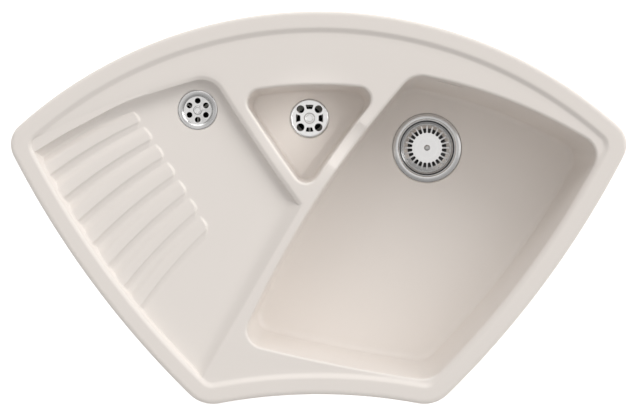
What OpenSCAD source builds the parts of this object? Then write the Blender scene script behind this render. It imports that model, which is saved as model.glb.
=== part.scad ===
// Corner kitchen sink: one glazed ceramic casting with a main bowl, a small bowl and a ribbed drainer,
// a basket waste, two sieve wastes and an overflow connector.
// Z = 0 is the top of the worktop, the origin is the centre of the tap hole, and +Y points to the corner.

/* [Rim] */
// Half the distance between the two shoulder corners
shoulder_x = 501; // [480:1:520]
// Distance of the shoulder corners in front of the tap hole
shoulder_y = 132; // [120:1:144]
// Half the distance between the two front corners
front_x = 185.5; // [175:0.5:200]
// Distance of the front corners in front of the tap hole
front_y = 560; // [545:1:590]
// Height of the back edge's arc over its chord
back_rise = 204; // [190:1:220]
// Height of each side edge's arc over its chord
side_rise = 24; // [15:1:32]
// Depth of the front edge's inward arc
front_dip = 20; // [5:1:28]
// Radius of the shoulder corners
shoulder_r = 40; // [30:1:60]
// Radius of the front corners
front_r = 54; // [40:1:70]
// Height of the rim over the worktop
rim_h = 12; // [9:0.5:18]
// Width of the raised rim band
rim_band = 30; // [24:0.5:33]
// Width of the slope from the rim down to the ledge
rim_slope = 5; // [2:0.5:8]
// Radius of the rim's outer edge
rim_edge_r = 5; // [2:0.5:8]
// Drop from the rim to the ledge
ledge_step = 4; // [2:0.5:7]
// Width of the rim's flat seat on the worktop
seat_w = 21; // [14:0.5:23]

/* [Casting] */
// Wall thickness of the bowls
wall = 11; // [8:0.5:13]
// Thickness of the floors and the ledge
floor_t = 13; // [10:0.5:18]
// Width of the ridges between the bowls and the drainer
ridge_w = 20; // [16:0.5:26]
// Radius of the rounded edge round each bowl
bowl_edge_r = 5; // [2:0.5:6]
// Diameter of the tap hole's knock-out, closed by a thin skin
tap_hole_d = 35; // [30:0.5:38]
// Thickness of the skin that closes the tap hole
tap_skin_t = 5; // [3:0.5:8]

/* [Main bowl] */
// Front left corner of the opening
main_front_left = [-125, -456]; // [-600:1:600]
// Front right corner of the opening
main_front_right = [179, -517.5]; // [-600:0.5:600]
// Back right corner of the opening
main_back_right = [454.5, -150]; // [-600:0.5:600]
// Back left corner of the opening
main_back_left = [150, -29]; // [-600:1:600]
// Height of the front, back and left arcs over their chords
main_rise = [4, 17, 20.5]; // [1:0.5:30]
// Radii of the corners, in the order above
main_corner_r = [28, 42, 32, 36]; // [24:1:50]
// Gap between the rim's slope and the bowl's right side
main_rim_gap = 0.5; // [0:0.5:3]
// Depth from the ledge to the floor at the waste
main_depth = 190; // [150:1:220]
// How far the walls lean in at the floor: front, right, back, left
main_lean = [19, 16, 12, 3]; // [1:0.5:24]
// Radius between the walls and the floor
main_floor_r = 18; // [10:0.5:24]
// Fall of the floor to the back, in degrees
main_fall = 1.2; // [0.5:0.1:2]
// Centre of the waste
main_waste = [179, -143]; // [-600:1:600]

/* [Small bowl] */
// Front tip of the opening
small_tip = [-18, -219]; // [-300:1:300]
// Back right corner of the opening
small_back_right = [103, -52.5]; // [-300:0.5:300]
// Back left corner of the opening
small_back_left = [-127, -57]; // [-300:1:300]
// Height of the back and left arcs over their chords
small_rise = [11, 1.5]; // [0.5:0.5:14]
// Radius of the corners
small_corner_r = 20; // [16:0.5:26]
// Depth from the ledge to the floor at the waste
small_depth = 120; // [90:1:150]
// How far the walls lean in at the floor
small_lean = 4; // [1:0.5:7]
// Radius between the walls and the floor
small_floor_r = 10; // [6:0.5:11]
// Fall of the floor to the back, in degrees
small_fall = 2; // [0.5:0.1:4]
// Centre of the waste
small_waste = [-15, -96]; // [-300:1:300]
// Distance of the overflow saddle's middle from the small bowl's back right corner
saddle_at = 92; // [70:1:110]
// Length of the saddle along the ridge
saddle_l = 76; // [50:1:90]
// Depth of the saddle below the ledge
saddle_drop = 7; // [3:0.5:12]

/* [Drainer] */
// Front tip beside the ridges
drain_tip = [-25, -235]; // [-600:1:600]
// Back right corner
drain_back_right = [-172, -31]; // [-600:1:600]
// Back left corner, on the rim
drain_back_left = [-459, -139]; // [-600:1:600]
// Front left corner, on the rim
drain_front_left = [-188, -516]; // [-600:1:600]
// Height of the back arc over its chord
drain_back_rise = 8.5; // [2:0.5:14]
// Radii of the corners, in the order above
drain_corner_r = [12, 42, 14, 12]; // [10:1:50]
// Depth from the ledge to the floor at the waste
drain_depth = 20; // [16:0.5:26]
// Fall of the floor to the back, in degrees
drain_fall = 2.5; // [1:0.1:2.6]
// Run of the sloping wall round the drainer
drain_wall_run = 9; // [5:0.5:10]
// Centre of the waste
drain_waste = [-194, -85.5]; // [-300:0.5:300]
// Number of ribs
rib_count = 7; // [3:1:8]
// Left end of the first rib's lower edge, at the rim
rib_start = [-427, -187]; // [-500:1:0]
// Step from one rib to the next along the rim
rib_step = 42.6; // [36:0.2:46]
// Direction of that step, in degrees
rib_step_angle = -56.2; // [-62:0.2:-50]
// Direction of the first rib, in degrees
rib_angle = 30.5; // [26:0.5:36]
// Turn from one rib to the next, in degrees
rib_turn = 3.1; // [2:0.1:3.6]
// Length of a rib
rib_l = 168; // [140:1:180]
// Arc of a rib over its chord
rib_rise = 4.5; // [0.5:0.5:7]
// Height of the first rib at the rim
rib_h = 8; // [5:0.5:10]
// Height of a rib at its free end
rib_end_h = 3; // [1.5:0.5:5]
// Width of a rib's steep side at the rim
rib_side_w = 9; // [5:0.5:12]

/* [Basket waste] */
// Diameter of the flange
basket_flange_d = 114; // [108:1:120]
// Diameter of the throat
throat_d = 90; // [84:1:92]
// Drop from the flange's edge to the throat
flange_fall = 4; // [2:0.5:6]
// Thickness of the pressed steel
sheet_t = 1.2; // [0.8:0.1:1.5]
// Depth of the wide upper cup below the throat
upper_cup_h = 12; // [9:0.5:16]
// Diameter of the narrow lower cup
lower_cup_d = 76; // [72:0.5:79]
// Depth of the lower cup
lower_cup_h = 32; // [28:0.5:40]
// Number of slots round the basket
slot_count = 24; // [16:1:28]
// Width of a slot
slot_w = 4; // [2.5:0.1:4.4]
// Diameter of the basket's flat centre
basket_disc_d = 52; // [46:0.5:56]
// Drop of the basket's slotted cone
basket_cone_h = 8; // [6:0.5:9]
// Diameter of the basket's centre pin
pin_d = 10; // [8:0.5:14]
// Diameter of the basket's stem
stem_d = 6; // [5:0.5:7]

/* [Sieve wastes] */
// Diameter of both sieves
sieve_d = 63; // [60:0.5:66]
// Diameter of the hole under the small bowl's sieve
sieve_hole_d = 57; // [56:0.5:58]
// Diameter of the four round holes of the small bowl's sieve
sieve_bore_d = 12.8; // [10:0.2:13]
// Distance of those holes from the centre
sieve_bore_at = 20.8; // [20:0.1:21]
// Diameter of the dished middle of the drainer's sieve
dish_d = 46; // [42:0.5:48]
// Depth of that dish
dish_h = 5; // [3:0.5:6]
// Diameter of its six holes
dish_bore_d = 9.6; // [7:0.1:11]
// Distance of those holes from the centre
dish_bore_at = 14.2; // [13.5:0.1:15.5]
// Diameter of the small bowl's sieve screw
small_screw_d = 18; // [14:0.5:19]
// Diameter of the drainer's sieve screw
drain_screw_d = 14.6; // [12:0.2:15]

/* [Waste bodies] */
// Outside diameter of the outlets' threads
outlet_d = 47.8; // [44:0.1:50]
// Length of the outlets
outlet_l = 24; // [18:1:30]
// Wall of the plastic bodies
body_wall = 3; // [2.5:0.1:3.5]
// Width of a body's clamping collar
collar_w = 11; // [8:0.5:12]
// Thickness of a clamping collar
collar_t = 5; // [4:0.5:7]
// Thickness of the rubber rings under the casting
gasket_t = 3; // [2:0.5:4]
// Thickness of the thin seals under the flanges
seal_t = 1.5; // [1:0.1:2]
// Diameter of the hose spigots for the overflow
spigot_d = 20; // [16:0.5:24]
// Length of the hose spigots
spigot_l = 26; // [20:1:32]

/* [Overflow] */
// Distance of the overflow slot from the main bowl's back left corner, along the back
overflow_at = 62; // [56:1:80]
// Width of the slot
overflow_w = 42; // [34:1:46]
// Height of the slot
overflow_h = 11; // [8:0.5:13]
// Depth of the slot's middle below the ledge
overflow_drop = 26; // [24:0.5:32]
// Depth of the channel behind the bowl's wall
channel_t = 30; // [28:0.5:34]
// Height of the channel
channel_h = 46; // [38:1:56]
// Diameter of the channel's outlet
channel_bore_d = 28; // [27:0.5:28]

/* [Hidden] */
$fn = 96;
ceramic = [0.88, 0.85, 0.82];
steel = [0.80, 0.81, 0.82];
rubber = [0.12, 0.12, 0.12];
plastic = [0.93, 0.93, 0.91];
brass = [0.80, 0.65, 0.30];
// Greatest gap between a curve and its chords
curve_gap = 0.5;
// Segments in each rounded corner
corner_steps = 5;
// Overlap that makes cuts and joins clean
over = 1;
// Clearance between pieces that move past each other
run_gap = 0.3;
// Clearance between pieces that are set in place
set_gap = 0.5;
// Share of an inset by which a ring's corner radii shrink
corner_follow = 0.6;
ledge_z = rim_h - ledge_step;

// Plan geometry. A side is an arc, kept as [centre, signed radius], positive where the side bulges out.
// Least rise of a side, which stands for a straight one
flattest = 0.05;
function arc_side(p, q, rise) =
    let (h = abs(rise) < flattest ? flattest : rise, c = norm(q - p), u = (q - p) / c,
        r = (c * c / 4 + h * h) / (2 * h))
    [(p + q) / 2 + [u.y, -u.x] * (h - r), r];
// The same arc moved inwards
function inset_side(s, d) = [s[0], s[1] - d];
// The side of the next hollow, across a ridge
function across(s, gap) = [s[0], -(s[1] + gap)];
function unit(v) = v / norm(v);
// Where two circles cross, on the side of a given point
function crossing(c1, r1, c2, r2, near) =
    let (d = norm(c2 - c1), u = (c2 - c1) / d, a = (r1 * r1 - r2 * r2 + d * d) / (2 * d),
        h = sqrt(max(0, r1 * r1 - a * a)), m = c1 + u * a, w = [-u.y, u.x] * h)
    norm(m + w - near) < norm(m - w - near) ? m + w : m - w;
function turn_between(a, b) = let (t = b - a) t > 180 ? t - 360 : t <= -180 ? t + 360 : t;
function bearing(p, c) = atan2(p.y - c.y, p.x - c.x);
// Points along an arc about c from p to q, without the last
function arc_points(c, p, q, steps) =
    let (a = bearing(p, c), t = turn_between(a, bearing(q, c)), r = norm(p - c))
    [for (k = [0 : steps - 1]) c + r * [cos(a + t * k / steps), sin(a + t * k / steps)]];
// Segments that keep an arc of this radius and chord within the curve gap
function arc_steps(s, p, q) = max(2, ceil(norm(q - p) / sqrt(8 * curve_gap * abs(s[1]))));
// A closed outline of arcs with rounded corners. Corner k lies before side k. Each side has its own inset.
function outline(sides, corners, radii, insets) =
    let (n = len(sides),
        middles = [for (k = [0 : n - 1]) let (j = (k + n - 1) % n)
            crossing(sides[j][0], abs(sides[j][1] - insets[j] - radii[k]),
                sides[k][0], abs(sides[k][1] - insets[k] - radii[k]), corners[k])],
        touch = function (k, m) sides[k][0] + unit(m - sides[k][0]) * abs(sides[k][1] - insets[k]))
    [for (k = [0 : n - 1]) let (j = (k + n - 1) % n, next = (k + 1) % n)
        each concat(arc_points(middles[k], touch(j, middles[k]), touch(k, middles[k]), corner_steps),
            arc_points(sides[k][0], touch(k, middles[k]), touch(k, middles[next]),
                arc_steps(sides[k], corners[k], corners[next])))];
function same(n, value) = [for (k = [1 : n]) value];
function centre_of(points) = let (n = len(points)) [for (p = points) 1] * points / n;
function raised(points, z) = [for (p = points) [p.x, p.y, z]];

// A solid through a stack of rings with equal counts, from the top ring down, closed by fans to their centres
module loft(rings) {
    n = len(rings[0]);
    last = len(rings) - 1;
    points = concat([for (r = rings) each r], [centre_of(rings[0]), centre_of(rings[last])]);
    sides = [for (k = [0 : last - 1], i = [0 : n - 1]) let (a = k * n + i, b = k * n + (i + 1) % n)
        each [[a, b, b + n], [a, b + n, a + n]]];
    top = [for (i = [0 : n - 1]) [(i + 1) % n, i, len(points) - 2]];
    bottom = [for (i = [0 : n - 1]) [last * n + i, last * n + (i + 1) % n, len(points) - 1]];
    polyhedron(points, concat(sides, top, bottom), convexity = 6);
}

// Rim outline, anticlockwise: back, left, front, right
rim_corners = [[shoulder_x, -shoulder_y], [-shoulder_x, -shoulder_y],
    [-front_x, -front_y], [front_x, -front_y]];
rim_sides = [for (k = [0 : 3])
    arc_side(rim_corners[k], rim_corners[(k + 1) % 4], [back_rise, side_rise, -front_dip, side_rise][k])];
rim_radii = [shoulder_r, shoulder_r, front_r, front_r];
// Radius of the corners of the ledge and of the plate under it
ledge_radius = 15;
function rim_ring(inset, z) =
    raised(outline(rim_sides, rim_corners, rim_radii - same(4, inset), same(4, inset)), z);
function ledge_ring(inset, z) =
    raised(outline(rim_sides, rim_corners, same(4, ledge_radius), same(4, inset)), z);

// Main bowl outline, anticlockwise: front, right, back, left. Its right side follows the rim.
main_corners = [main_front_left, main_front_right, main_back_right, main_back_left];
main_sides = [arc_side(main_front_left, main_front_right, main_rise[0]),
    inset_side(rim_sides[3], rim_band + rim_slope + main_rim_gap),
    arc_side(main_back_right, main_back_left, main_rise[1]),
    arc_side(main_back_left, main_front_left, main_rise[2])];
main_floor_z = ledge_z - main_depth;
function main_floor(p) = main_floor_z + tan(main_fall) * (main_waste.y - p.y);
// A ring of the main bowl: its share of the lean, further inset, height, and share of the floor's fall
function main_ring(lean, inset, z, fall) =
    [for (p = outline(main_sides, main_corners, main_corner_r - same(4, inset) * corner_follow,
        main_lean * lean + same(4, inset))) [p.x, p.y, z + fall * (main_floor(p) - main_floor_z)]];

// Small bowl outline, anticlockwise: right, back, left. Its right side runs along the main bowl.
small_corners = [small_tip, small_back_right, small_back_left];
small_sides = [across(main_sides[3], ridge_w),
    arc_side(small_back_right, small_back_left, small_rise[0]),
    arc_side(small_back_left, small_tip, small_rise[1])];
small_floor_z = ledge_z - small_depth;
function small_floor(p) = small_floor_z + tan(small_fall) * (small_waste.y - p.y);
function small_ring(lean, inset, z, fall) =
    [for (p = outline(small_sides, small_corners, same(3, small_corner_r - inset * corner_follow),
        same(3, small_lean * lean + inset))) [p.x, p.y, z + fall * (small_floor(p) - small_floor_z)]];

// Drainer outline, anticlockwise: right, back, left, front right. Its right side runs along the small bowl.
drain_corners = [drain_tip, drain_back_right, drain_back_left, drain_front_left];
drain_sides = [across(small_sides[2], ridge_w),
    arc_side(drain_back_right, drain_back_left, drain_back_rise),
    inset_side(rim_sides[1], rim_band + rim_slope),
    arc_side(drain_front_left, drain_tip, 0)];
drain_floor_z = ledge_z - drain_depth;
function drain_floor(p) = drain_floor_z + tan(drain_fall) * (drain_waste.y - p.y);
// A ring of the drainer, part of the way from the ledge to the floor
function drain_ring(share, inset, lower) =
    [for (p = outline(drain_sides, drain_corners, drain_corner_r - same(4, inset) * corner_follow,
        same(4, inset))) [p.x, p.y, ledge_z + share * (drain_floor(p) - ledge_z) - lower]];

// Casting: the angles of the rings round each curved edge, and the small radius under the rim's edge
quarter = [0, 30, 60, 90];
rim_underside_r = 1.5;

module rim_slab() {
    loft(concat(
        [for (a = quarter) rim_ring(rim_edge_r * (1 - sin(a)), rim_h - rim_edge_r * (1 - cos(a)))],
        [rim_ring(0, rim_underside_r), rim_ring(rim_underside_r, 0)]));
}

// The thick plate under the ledge, which drops into the worktop's cut-out
module under_plate() {
    loft([ledge_ring(seat_w, ledge_z - over), ledge_ring(seat_w, ledge_z - floor_t)]);
}

module ledge_hollow() {
    loft([ledge_ring(rim_band - over, rim_h + over * ledge_step / rim_slope),
        ledge_ring(rim_band + rim_slope, ledge_z)]);
}

// Inset and level of the rounded edge round a bowl, at an angle
function edge_in(a) = -bowl_edge_r * (1 - sin(a));
function edge_down(a) = ledge_z - bowl_edge_r * (1 - cos(a));

module main_hollow() {
    foot_z = main_floor_z + main_floor_r;
    loft(concat(
        [main_ring(0, -bowl_edge_r, rim_h + over, 0)],
        [for (a = quarter) main_ring(0, edge_in(a), edge_down(a), 0)],
        [for (a = quarter) main_ring(1, main_floor_r * (1 - cos(a)), foot_z - main_floor_r * sin(a), 1)]));
}

module main_shell() {
    outer_r = main_floor_r + wall;
    foot_z = main_floor_z - floor_t + outer_r;
    loft(concat(
        [main_ring(0, -wall, ledge_z - over, 0)],
        [for (a = quarter) main_ring(1, outer_r * (1 - cos(a)) - wall, foot_z - outer_r * sin(a), 1)]));
}

module small_hollow() {
    foot_z = small_floor_z + small_floor_r;
    loft(concat(
        [small_ring(0, -bowl_edge_r, rim_h + over, 0)],
        [for (a = quarter) small_ring(0, edge_in(a), edge_down(a), 0)],
        [for (a = quarter) small_ring(1, small_floor_r * (1 - cos(a)), foot_z - small_floor_r * sin(a), 1)]));
}

module small_shell() {
    outer_r = small_floor_r + wall;
    foot_z = small_floor_z - floor_t + outer_r;
    loft(concat(
        [small_ring(0, -wall, ledge_z - over, 0)],
        [for (a = quarter) small_ring(1, outer_r * (1 - cos(a)) - wall, foot_z - outer_r * sin(a), 1)]));
}

// Profile of the drainer's wall, as shares of its depth and of its run
drain_profile = [[0, -0.1], [0.2, 0.16], [0.8, 0.5], [1, 1]];
module drain_hollow() {
    rings = [for (p = drain_profile) drain_ring(p[0], p[1] * drain_wall_run, 0)];
    loft(concat([raised(rings[0], rim_h + over)], rings));
}

module drain_shell() {
    loft([raised(drain_ring(0, 0, 0), ledge_z - over), drain_ring(1, 0, floor_t)]);
}

// Ribbed board: every rib has a steep front side, a flat crest and a long ramp that starts at the foot of the
// rib behind it. Place v counts the ribs from the back, and s is the distance from the rim.
// Columns along a rib
board_steps = 6;
// How deep a rib's foot lies below the floor
board_buried = 1.5;
// Depth of the board below the floor
board_depth = 4;
// How far a rib reaches back under the rim
board_root = 4;
// Run of the slope at a rib's free end
board_nose = 4;
// Height that each rib loses to the one behind it, at the rim
rib_fade = 0.8;
// Share of its steep side's width that a rib loses towards its free end
side_taper = 0.55;
// Share of the step taken by a crest
board_crest = 0.42;
function board_point(v, s) =
    let (a = rib_angle + rib_turn * v, t = s / rib_l)
    rib_start + rib_step * v * [cos(rib_step_angle), sin(rib_step_angle)]
        + s * [cos(a), sin(a)] + 4 * rib_rise * t * (1 - t) * [-sin(a), cos(a)];
function rib_height(k, t) = (rib_h - rib_fade * k) * (1 - t) + rib_end_h * t;
// Share of the step taken by a rib's steep side, down to its buried foot
function side_share(k, t) =
    rib_side_w / rib_step * (1 - side_taper * t) * (1 + board_buried / rib_height(k, t));
// Rows of the board as [rib, row kind]: 0 is the foot behind a rib, 1 the back of its crest, 2 its front edge
board_rows = concat([for (k = [0 : rib_count - 1], kind = [0 : 2]) [k, kind]], [[rib_count, 0]]);
board_columns = concat([-board_root],
    [for (i = [0 : board_steps]) (rib_l - board_nose) * i / board_steps], [rib_l]);
function board_vertex(row, column) =
    let (k = row[0], kind = row[1], last = column == len(board_columns) - 1,
        s = board_columns[column] - (kind == 1 && column > board_steps ? board_nose : 0),
        t = max(0, min(1, s / rib_l)),
        v = kind == 0 ? k - 1 + side_share(max(k - 1, 0), t) : kind == 1 ? k - board_crest : k,
        p = board_point(v, s), lift = kind == 0 || last ? -board_buried : rib_height(k, t))
    [p.x, p.y, drain_floor(p) + lift];

module ribbed_board() {
    rows = len(board_rows);
    columns = len(board_columns);
    top = [for (row = board_rows, j = [0 : columns - 1]) board_vertex(row, j)];
    edge = concat([for (i = [0 : rows - 2]) i * columns],
        [for (j = [0 : columns - 2]) (rows - 1) * columns + j],
        [for (i = [rows - 1 : -1 : 1]) i * columns + columns - 1], [for (j = [columns - 1 : -1 : 1]) j]);
    under = [for (e = edge) [top[e].x, top[e].y, drain_floor(top[e]) - board_depth]];
    first = len(top);
    n = len(edge);
    faces = concat(
        [for (i = [0 : rows - 2], j = [0 : columns - 2]) let (a = i * columns + j, b = a + columns)
            each [[a, a + 1, b + 1], [a, b + 1, b]]],
        [for (i = [0 : n - 1]) let (next = (i + 1) % n)
            each [[edge[i], edge[next], first + next], [edge[i], first + next, first + i]]],
        [for (i = [0 : n - 1]) [first + i, first + (i + 1) % n, first + n]]);
    polyhedron(concat(top, under, [centre_of(under)]), faces, convexity = 10);
}

// The overflow slot's frame: its middle on the bowl's back wall, and the wall's outward bearing there
overflow_mid = let (s = main_sides[2], a = bearing(main_back_left, s[0]),
    t = overflow_at / s[1] * 180 / PI) s[0] + s[1] * [cos(a - t), sin(a - t)];
overflow_bearing = bearing(overflow_mid, main_sides[2][0]);
overflow_z = ledge_z - overflow_drop;
// How far the channel reaches past the slot at each side, above it, and into the bowl's wall
channel_side = 4;
channel_roof = 2;
channel_bite = 3;
channel_w = overflow_w + 2 * channel_side;
channel_from = wall - channel_bite;
channel_mid = channel_from + channel_t / 2;
channel_top = overflow_z + overflow_h / 2 + channel_roof;
channel_bottom = channel_top - channel_h;
module at_overflow() {
    translate([overflow_mid.x, overflow_mid.y, 0]) rotate([0, 0, overflow_bearing]) children();
}

// Ceramic box behind the back wall that carries the overflow down to the connector
module overflow_box() {
    at_overflow() {
        translate([0, -channel_w / 2 - wall, channel_bottom - wall])
            cube([channel_from + channel_t + wall, channel_w + 2 * wall,
                ledge_z - over - channel_bottom + wall]);
    }
}

module overflow_hollow() {
    slot_run = main_lean[2] + channel_from + 2 * over;
    at_overflow() {
        translate([-main_lean[2] - over, -overflow_w / 2 + overflow_h / 2, overflow_z - overflow_h / 2])
            cube([slot_run, overflow_w - overflow_h, overflow_h]);
        for (side = [-1, 1])
            translate([-main_lean[2] - over, side * (overflow_w - overflow_h) / 2, overflow_z])
                rotate([0, 90, 0]) cylinder(d = overflow_h, h = slot_run);
        translate([channel_from, -channel_w / 2, channel_bottom]) cube([channel_t, channel_w, channel_h]);
        translate([channel_mid, 0, channel_bottom - wall - over])
            cylinder(d = channel_bore_d, h = wall + 2 * over);
    }
}

// The lowered stretch of the ridge between the small bowl and the main bowl
saddle_mid = let (s = small_sides[0], a = bearing(small_back_right, s[0]),
    t = saddle_at / s[1] * 180 / PI) s[0] - s[1] * [cos(a - t), sin(a - t)];
saddle_bearing = bearing(saddle_mid, small_sides[0][0]);
module saddle_hollow() {
    dish_r = (saddle_l * saddle_l / 4 + saddle_drop * saddle_drop) / (2 * saddle_drop);
    span = ridge_w + 2 * wall;
    translate([saddle_mid.x, saddle_mid.y, ledge_z - saddle_drop + dish_r]) rotate([0, 90, saddle_bearing])
        translate([0, 0, -span / 2 - ridge_w / 2]) cylinder(r = dish_r, h = span);
}

// Seats of the wastes. Each is [place, level of the floor there, level of the casting's underside].
basket_at = [main_waste.x, main_waste.y, main_floor_z];
small_at = [small_waste.x, small_waste.y, small_floor_z];
drain_at = [drain_waste.x, drain_waste.y, drain_floor_z];
basket_r = basket_flange_d / 2;
throat_r = throat_d / 2;
sieve_r = sieve_d / 2;
// Depth of a flange's outer edge below the floor at the waste's centre
flange_sink = 1;
// Thickness of the seals under the sieves
sieve_seal_t = 2;
// How far the bosses under the sieves stand below the floors' underside at the waste
boss_drop = 3.5;
// How far a seat is cut clear above a flange
seat_clear = 3;
// How far a boss under the casting reaches past its clamping collar
boss_extra = 4;
basket_boss_h = flange_sink + flange_fall + sheet_t + seal_t + floor_t;
basket_bore_r = throat_r + sheet_t + set_gap;
sieve_seat = flange_sink + sheet_t + sieve_seal_t;
sieve_boss_h = floor_t + boss_drop;

function flange_top(r) = -flange_sink - flange_fall * (basket_r - r) / (basket_r - throat_r);

module basket_seat() {
    low = flange_top(basket_bore_r) - sheet_t - seal_t;
    high = flange_top(basket_r + set_gap) - sheet_t - seal_t;
    translate(basket_at) {
        translate([0, 0, -basket_boss_h - over]) cylinder(r = basket_bore_r, h = basket_boss_h + over);
        translate([0, 0, low]) cylinder(r1 = basket_bore_r, r2 = basket_r + set_gap, h = high - low);
        translate([0, 0, high]) cylinder(r = basket_r + set_gap, h = main_floor_r);
    }
}

module sieve_seat_cut(place, hole_r) {
    translate(place) {
        translate([0, 0, -sieve_boss_h - over]) cylinder(r = hole_r, h = sieve_boss_h + over);
        translate([0, 0, -sieve_seat]) cylinder(r = sieve_r + set_gap, h = sieve_seat + seat_clear);
    }
}

small_hole_r = sieve_hole_d / 2;
dish_hole_r = dish_d / 2 + sheet_t + set_gap;

module sink_body() {
    color(ceramic) union() {
        ribbed_board();
        casting();
    }
}

module casting() {
    difference() {
        union() {
            rim_slab();
            under_plate();
            main_shell();
            small_shell();
            drain_shell();
            overflow_box();
            translate(basket_at - [0, 0, basket_boss_h])
                cylinder(r = basket_bore_r + collar_w + boss_extra, h = basket_boss_h - floor_t / 2);
            translate(small_at - [0, 0, sieve_boss_h])
                cylinder(r = small_hole_r + collar_w + boss_extra, h = sieve_boss_h - floor_t / 2);
            translate(drain_at - [0, 0, sieve_boss_h])
                cylinder(r = dish_hole_r + collar_w + boss_extra, h = sieve_boss_h - floor_t / 2);
        }
        ledge_hollow();
        main_hollow();
        small_hollow();
        drain_hollow();
        saddle_hollow();
        overflow_hollow();
        basket_seat();
        sieve_seat_cut(small_at, small_hole_r);
        sieve_seat_cut(drain_at, dish_hole_r);
        translate([0, 0, ledge_z - floor_t - over]) cylinder(d = tap_hole_d, h = floor_t - tap_skin_t + over);
    }
}

// Shared waste parts. Every height below is measured from the floor's level at that waste.
module tube(outer_r, inner_r, low, high) {
    translate([0, 0, low]) difference() {
        cylinder(r = outer_r, h = high - low);
        translate([0, 0, -over]) cylinder(r = inner_r, h = high - low + 2 * over);
    }
}

// A flat rubber ring under the casting, round a waste's hole
module body_gasket(place, hole_r, boss_h) {
    color(rubber) translate(place) tube(hole_r + collar_w, hole_r + set_gap, -boss_h - gasket_t, -boss_h);
}

// Sizes of the plastic waste bodies: cone, hub, the hub's brass insert and its three ribs
cone_h = 14;
hub_r = 9;
hub_floor = 4;
hub_bore_r = 3.5;
nut_r = 5.5;
nut_h = 12;
web_t = 3;
// How far the ribs stay below the hub's top
web_drop = 6;
// Turn of the first rib, which keeps the ribs clear of the overflow port
web_turn = 30;

// A plastic waste body: collar, chamber, cone, outlet, and a hub on three ribs that holds the brass insert
module waste_body(place, hole_r, boss_h, chamber_r, chamber_h, hub_top) {
    top = -boss_h - gasket_t;
    floor = top - chamber_h;
    outlet_top = floor - cone_h;
    outer = [[hole_r + collar_w, top], [hole_r + collar_w, top - collar_t], [chamber_r, top - collar_t],
        [chamber_r, floor], [outlet_d / 2, outlet_top], [outlet_d / 2, outlet_top - outlet_l]];
    inner = [[outlet_d / 2 - body_wall, outlet_top - outlet_l], [outlet_d / 2 - body_wall, outlet_top],
        [chamber_r - body_wall, floor], [chamber_r - body_wall, top]];
    hub_h = nut_h + hub_floor;
    web_low = floor - cone_h / 3;
    color(plastic) translate(place) difference() {
        union() {
            rotate_extrude() polygon(concat(outer, inner));
            translate([0, 0, hub_top - hub_h]) cylinder(r = hub_r, h = hub_h);
            for (k = [0 : 2]) rotate([0, 0, 120 * k + web_turn]) translate([0, -web_t / 2, web_low])
                cube([chamber_r - body_wall / 2, web_t, hub_top - web_drop - web_low]);
        }
        translate([0, 0, hub_top - nut_h]) cylinder(r = nut_r, h = nut_h + over);
        translate([0, 0, hub_top - hub_h - over]) cylinder(r = hub_bore_r, h = hub_h + 2 * over);
    }
}

// The brass insert in a hub
module insert_nut(place, hub_top, thread_r) {
    color(brass) translate(place) tube(nut_r, thread_r, hub_top - nut_h, hub_top);
}

// Basket waste levels
throat_z = -flange_sink - flange_fall;
step_z = throat_z - upper_cup_h;
step_fall = 1.5;
lower_r = lower_cup_d / 2;
cup_floor_z = step_z - step_fall - lower_cup_h;
cup_bottom_z = cup_floor_z - sheet_t;
cup_draft = 0.5;
upper_r = throat_r - cup_draft;
// The six holes in the cup's floor: their distance from the centre and radius, as shares of the cup's radius
cup_hole_at = 0.6;
cup_hole_r = 0.22;
clamp_thread_r = 4;
clamp_head_r = 9;
clamp_head_h = 4;
post_wall = 1.8;
post_r = stem_d / 2 + run_gap + post_wall;
post_floor = 1;
post_h = 12;

module basket_flange_cup() {
    inner = [[basket_r, -flange_sink], [throat_r, throat_z], [upper_r, step_z], [lower_r, step_z - step_fall],
        [lower_r, cup_floor_z], [clamp_thread_r + run_gap, cup_floor_z]];
    outer = [[clamp_thread_r + run_gap, cup_bottom_z], [lower_r + sheet_t, cup_bottom_z],
        [lower_r + sheet_t, step_z - step_fall - sheet_t], [upper_r + sheet_t, step_z - sheet_t],
        [throat_r + sheet_t, flange_top(throat_r + sheet_t) - sheet_t],
        [basket_r, flange_top(basket_r) - sheet_t]];
    color(steel) translate(basket_at) difference() {
        rotate_extrude() polygon(concat(inner, outer));
        for (k = [0 : 5]) rotate([0, 0, 60 * k]) translate([lower_r * cup_hole_at, 0, cup_bottom_z - over])
            cylinder(r = lower_r * cup_hole_r, h = sheet_t + 2 * over);
    }
}

module basket_flange_seal() {
    in_r = basket_bore_r + set_gap;
    out_r = basket_r - set_gap;
    color(rubber) translate(basket_at) rotate_extrude() polygon([
        [in_r, flange_top(in_r) - sheet_t], [out_r, flange_top(out_r) - sheet_t],
        [out_r, flange_top(out_r) - sheet_t - seal_t], [in_r, flange_top(in_r) - sheet_t - seal_t]]);
}

module basket_body_gasket() { body_gasket(basket_at, basket_bore_r, basket_boss_h); }

basket_chamber_r = basket_bore_r + body_wall + 2 * set_gap;
basket_chamber_h = 36;
// The overflow port: its gap below the collar, its direction, and the shoulder that its spigot starts from
port_drop = 4;
port_angle = 80;
port_shoulder_w = 3;
port_shoulder_h = 1.5;
port_z = -basket_boss_h - gasket_t - collar_t - spigot_d / 2 - port_drop;
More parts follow.
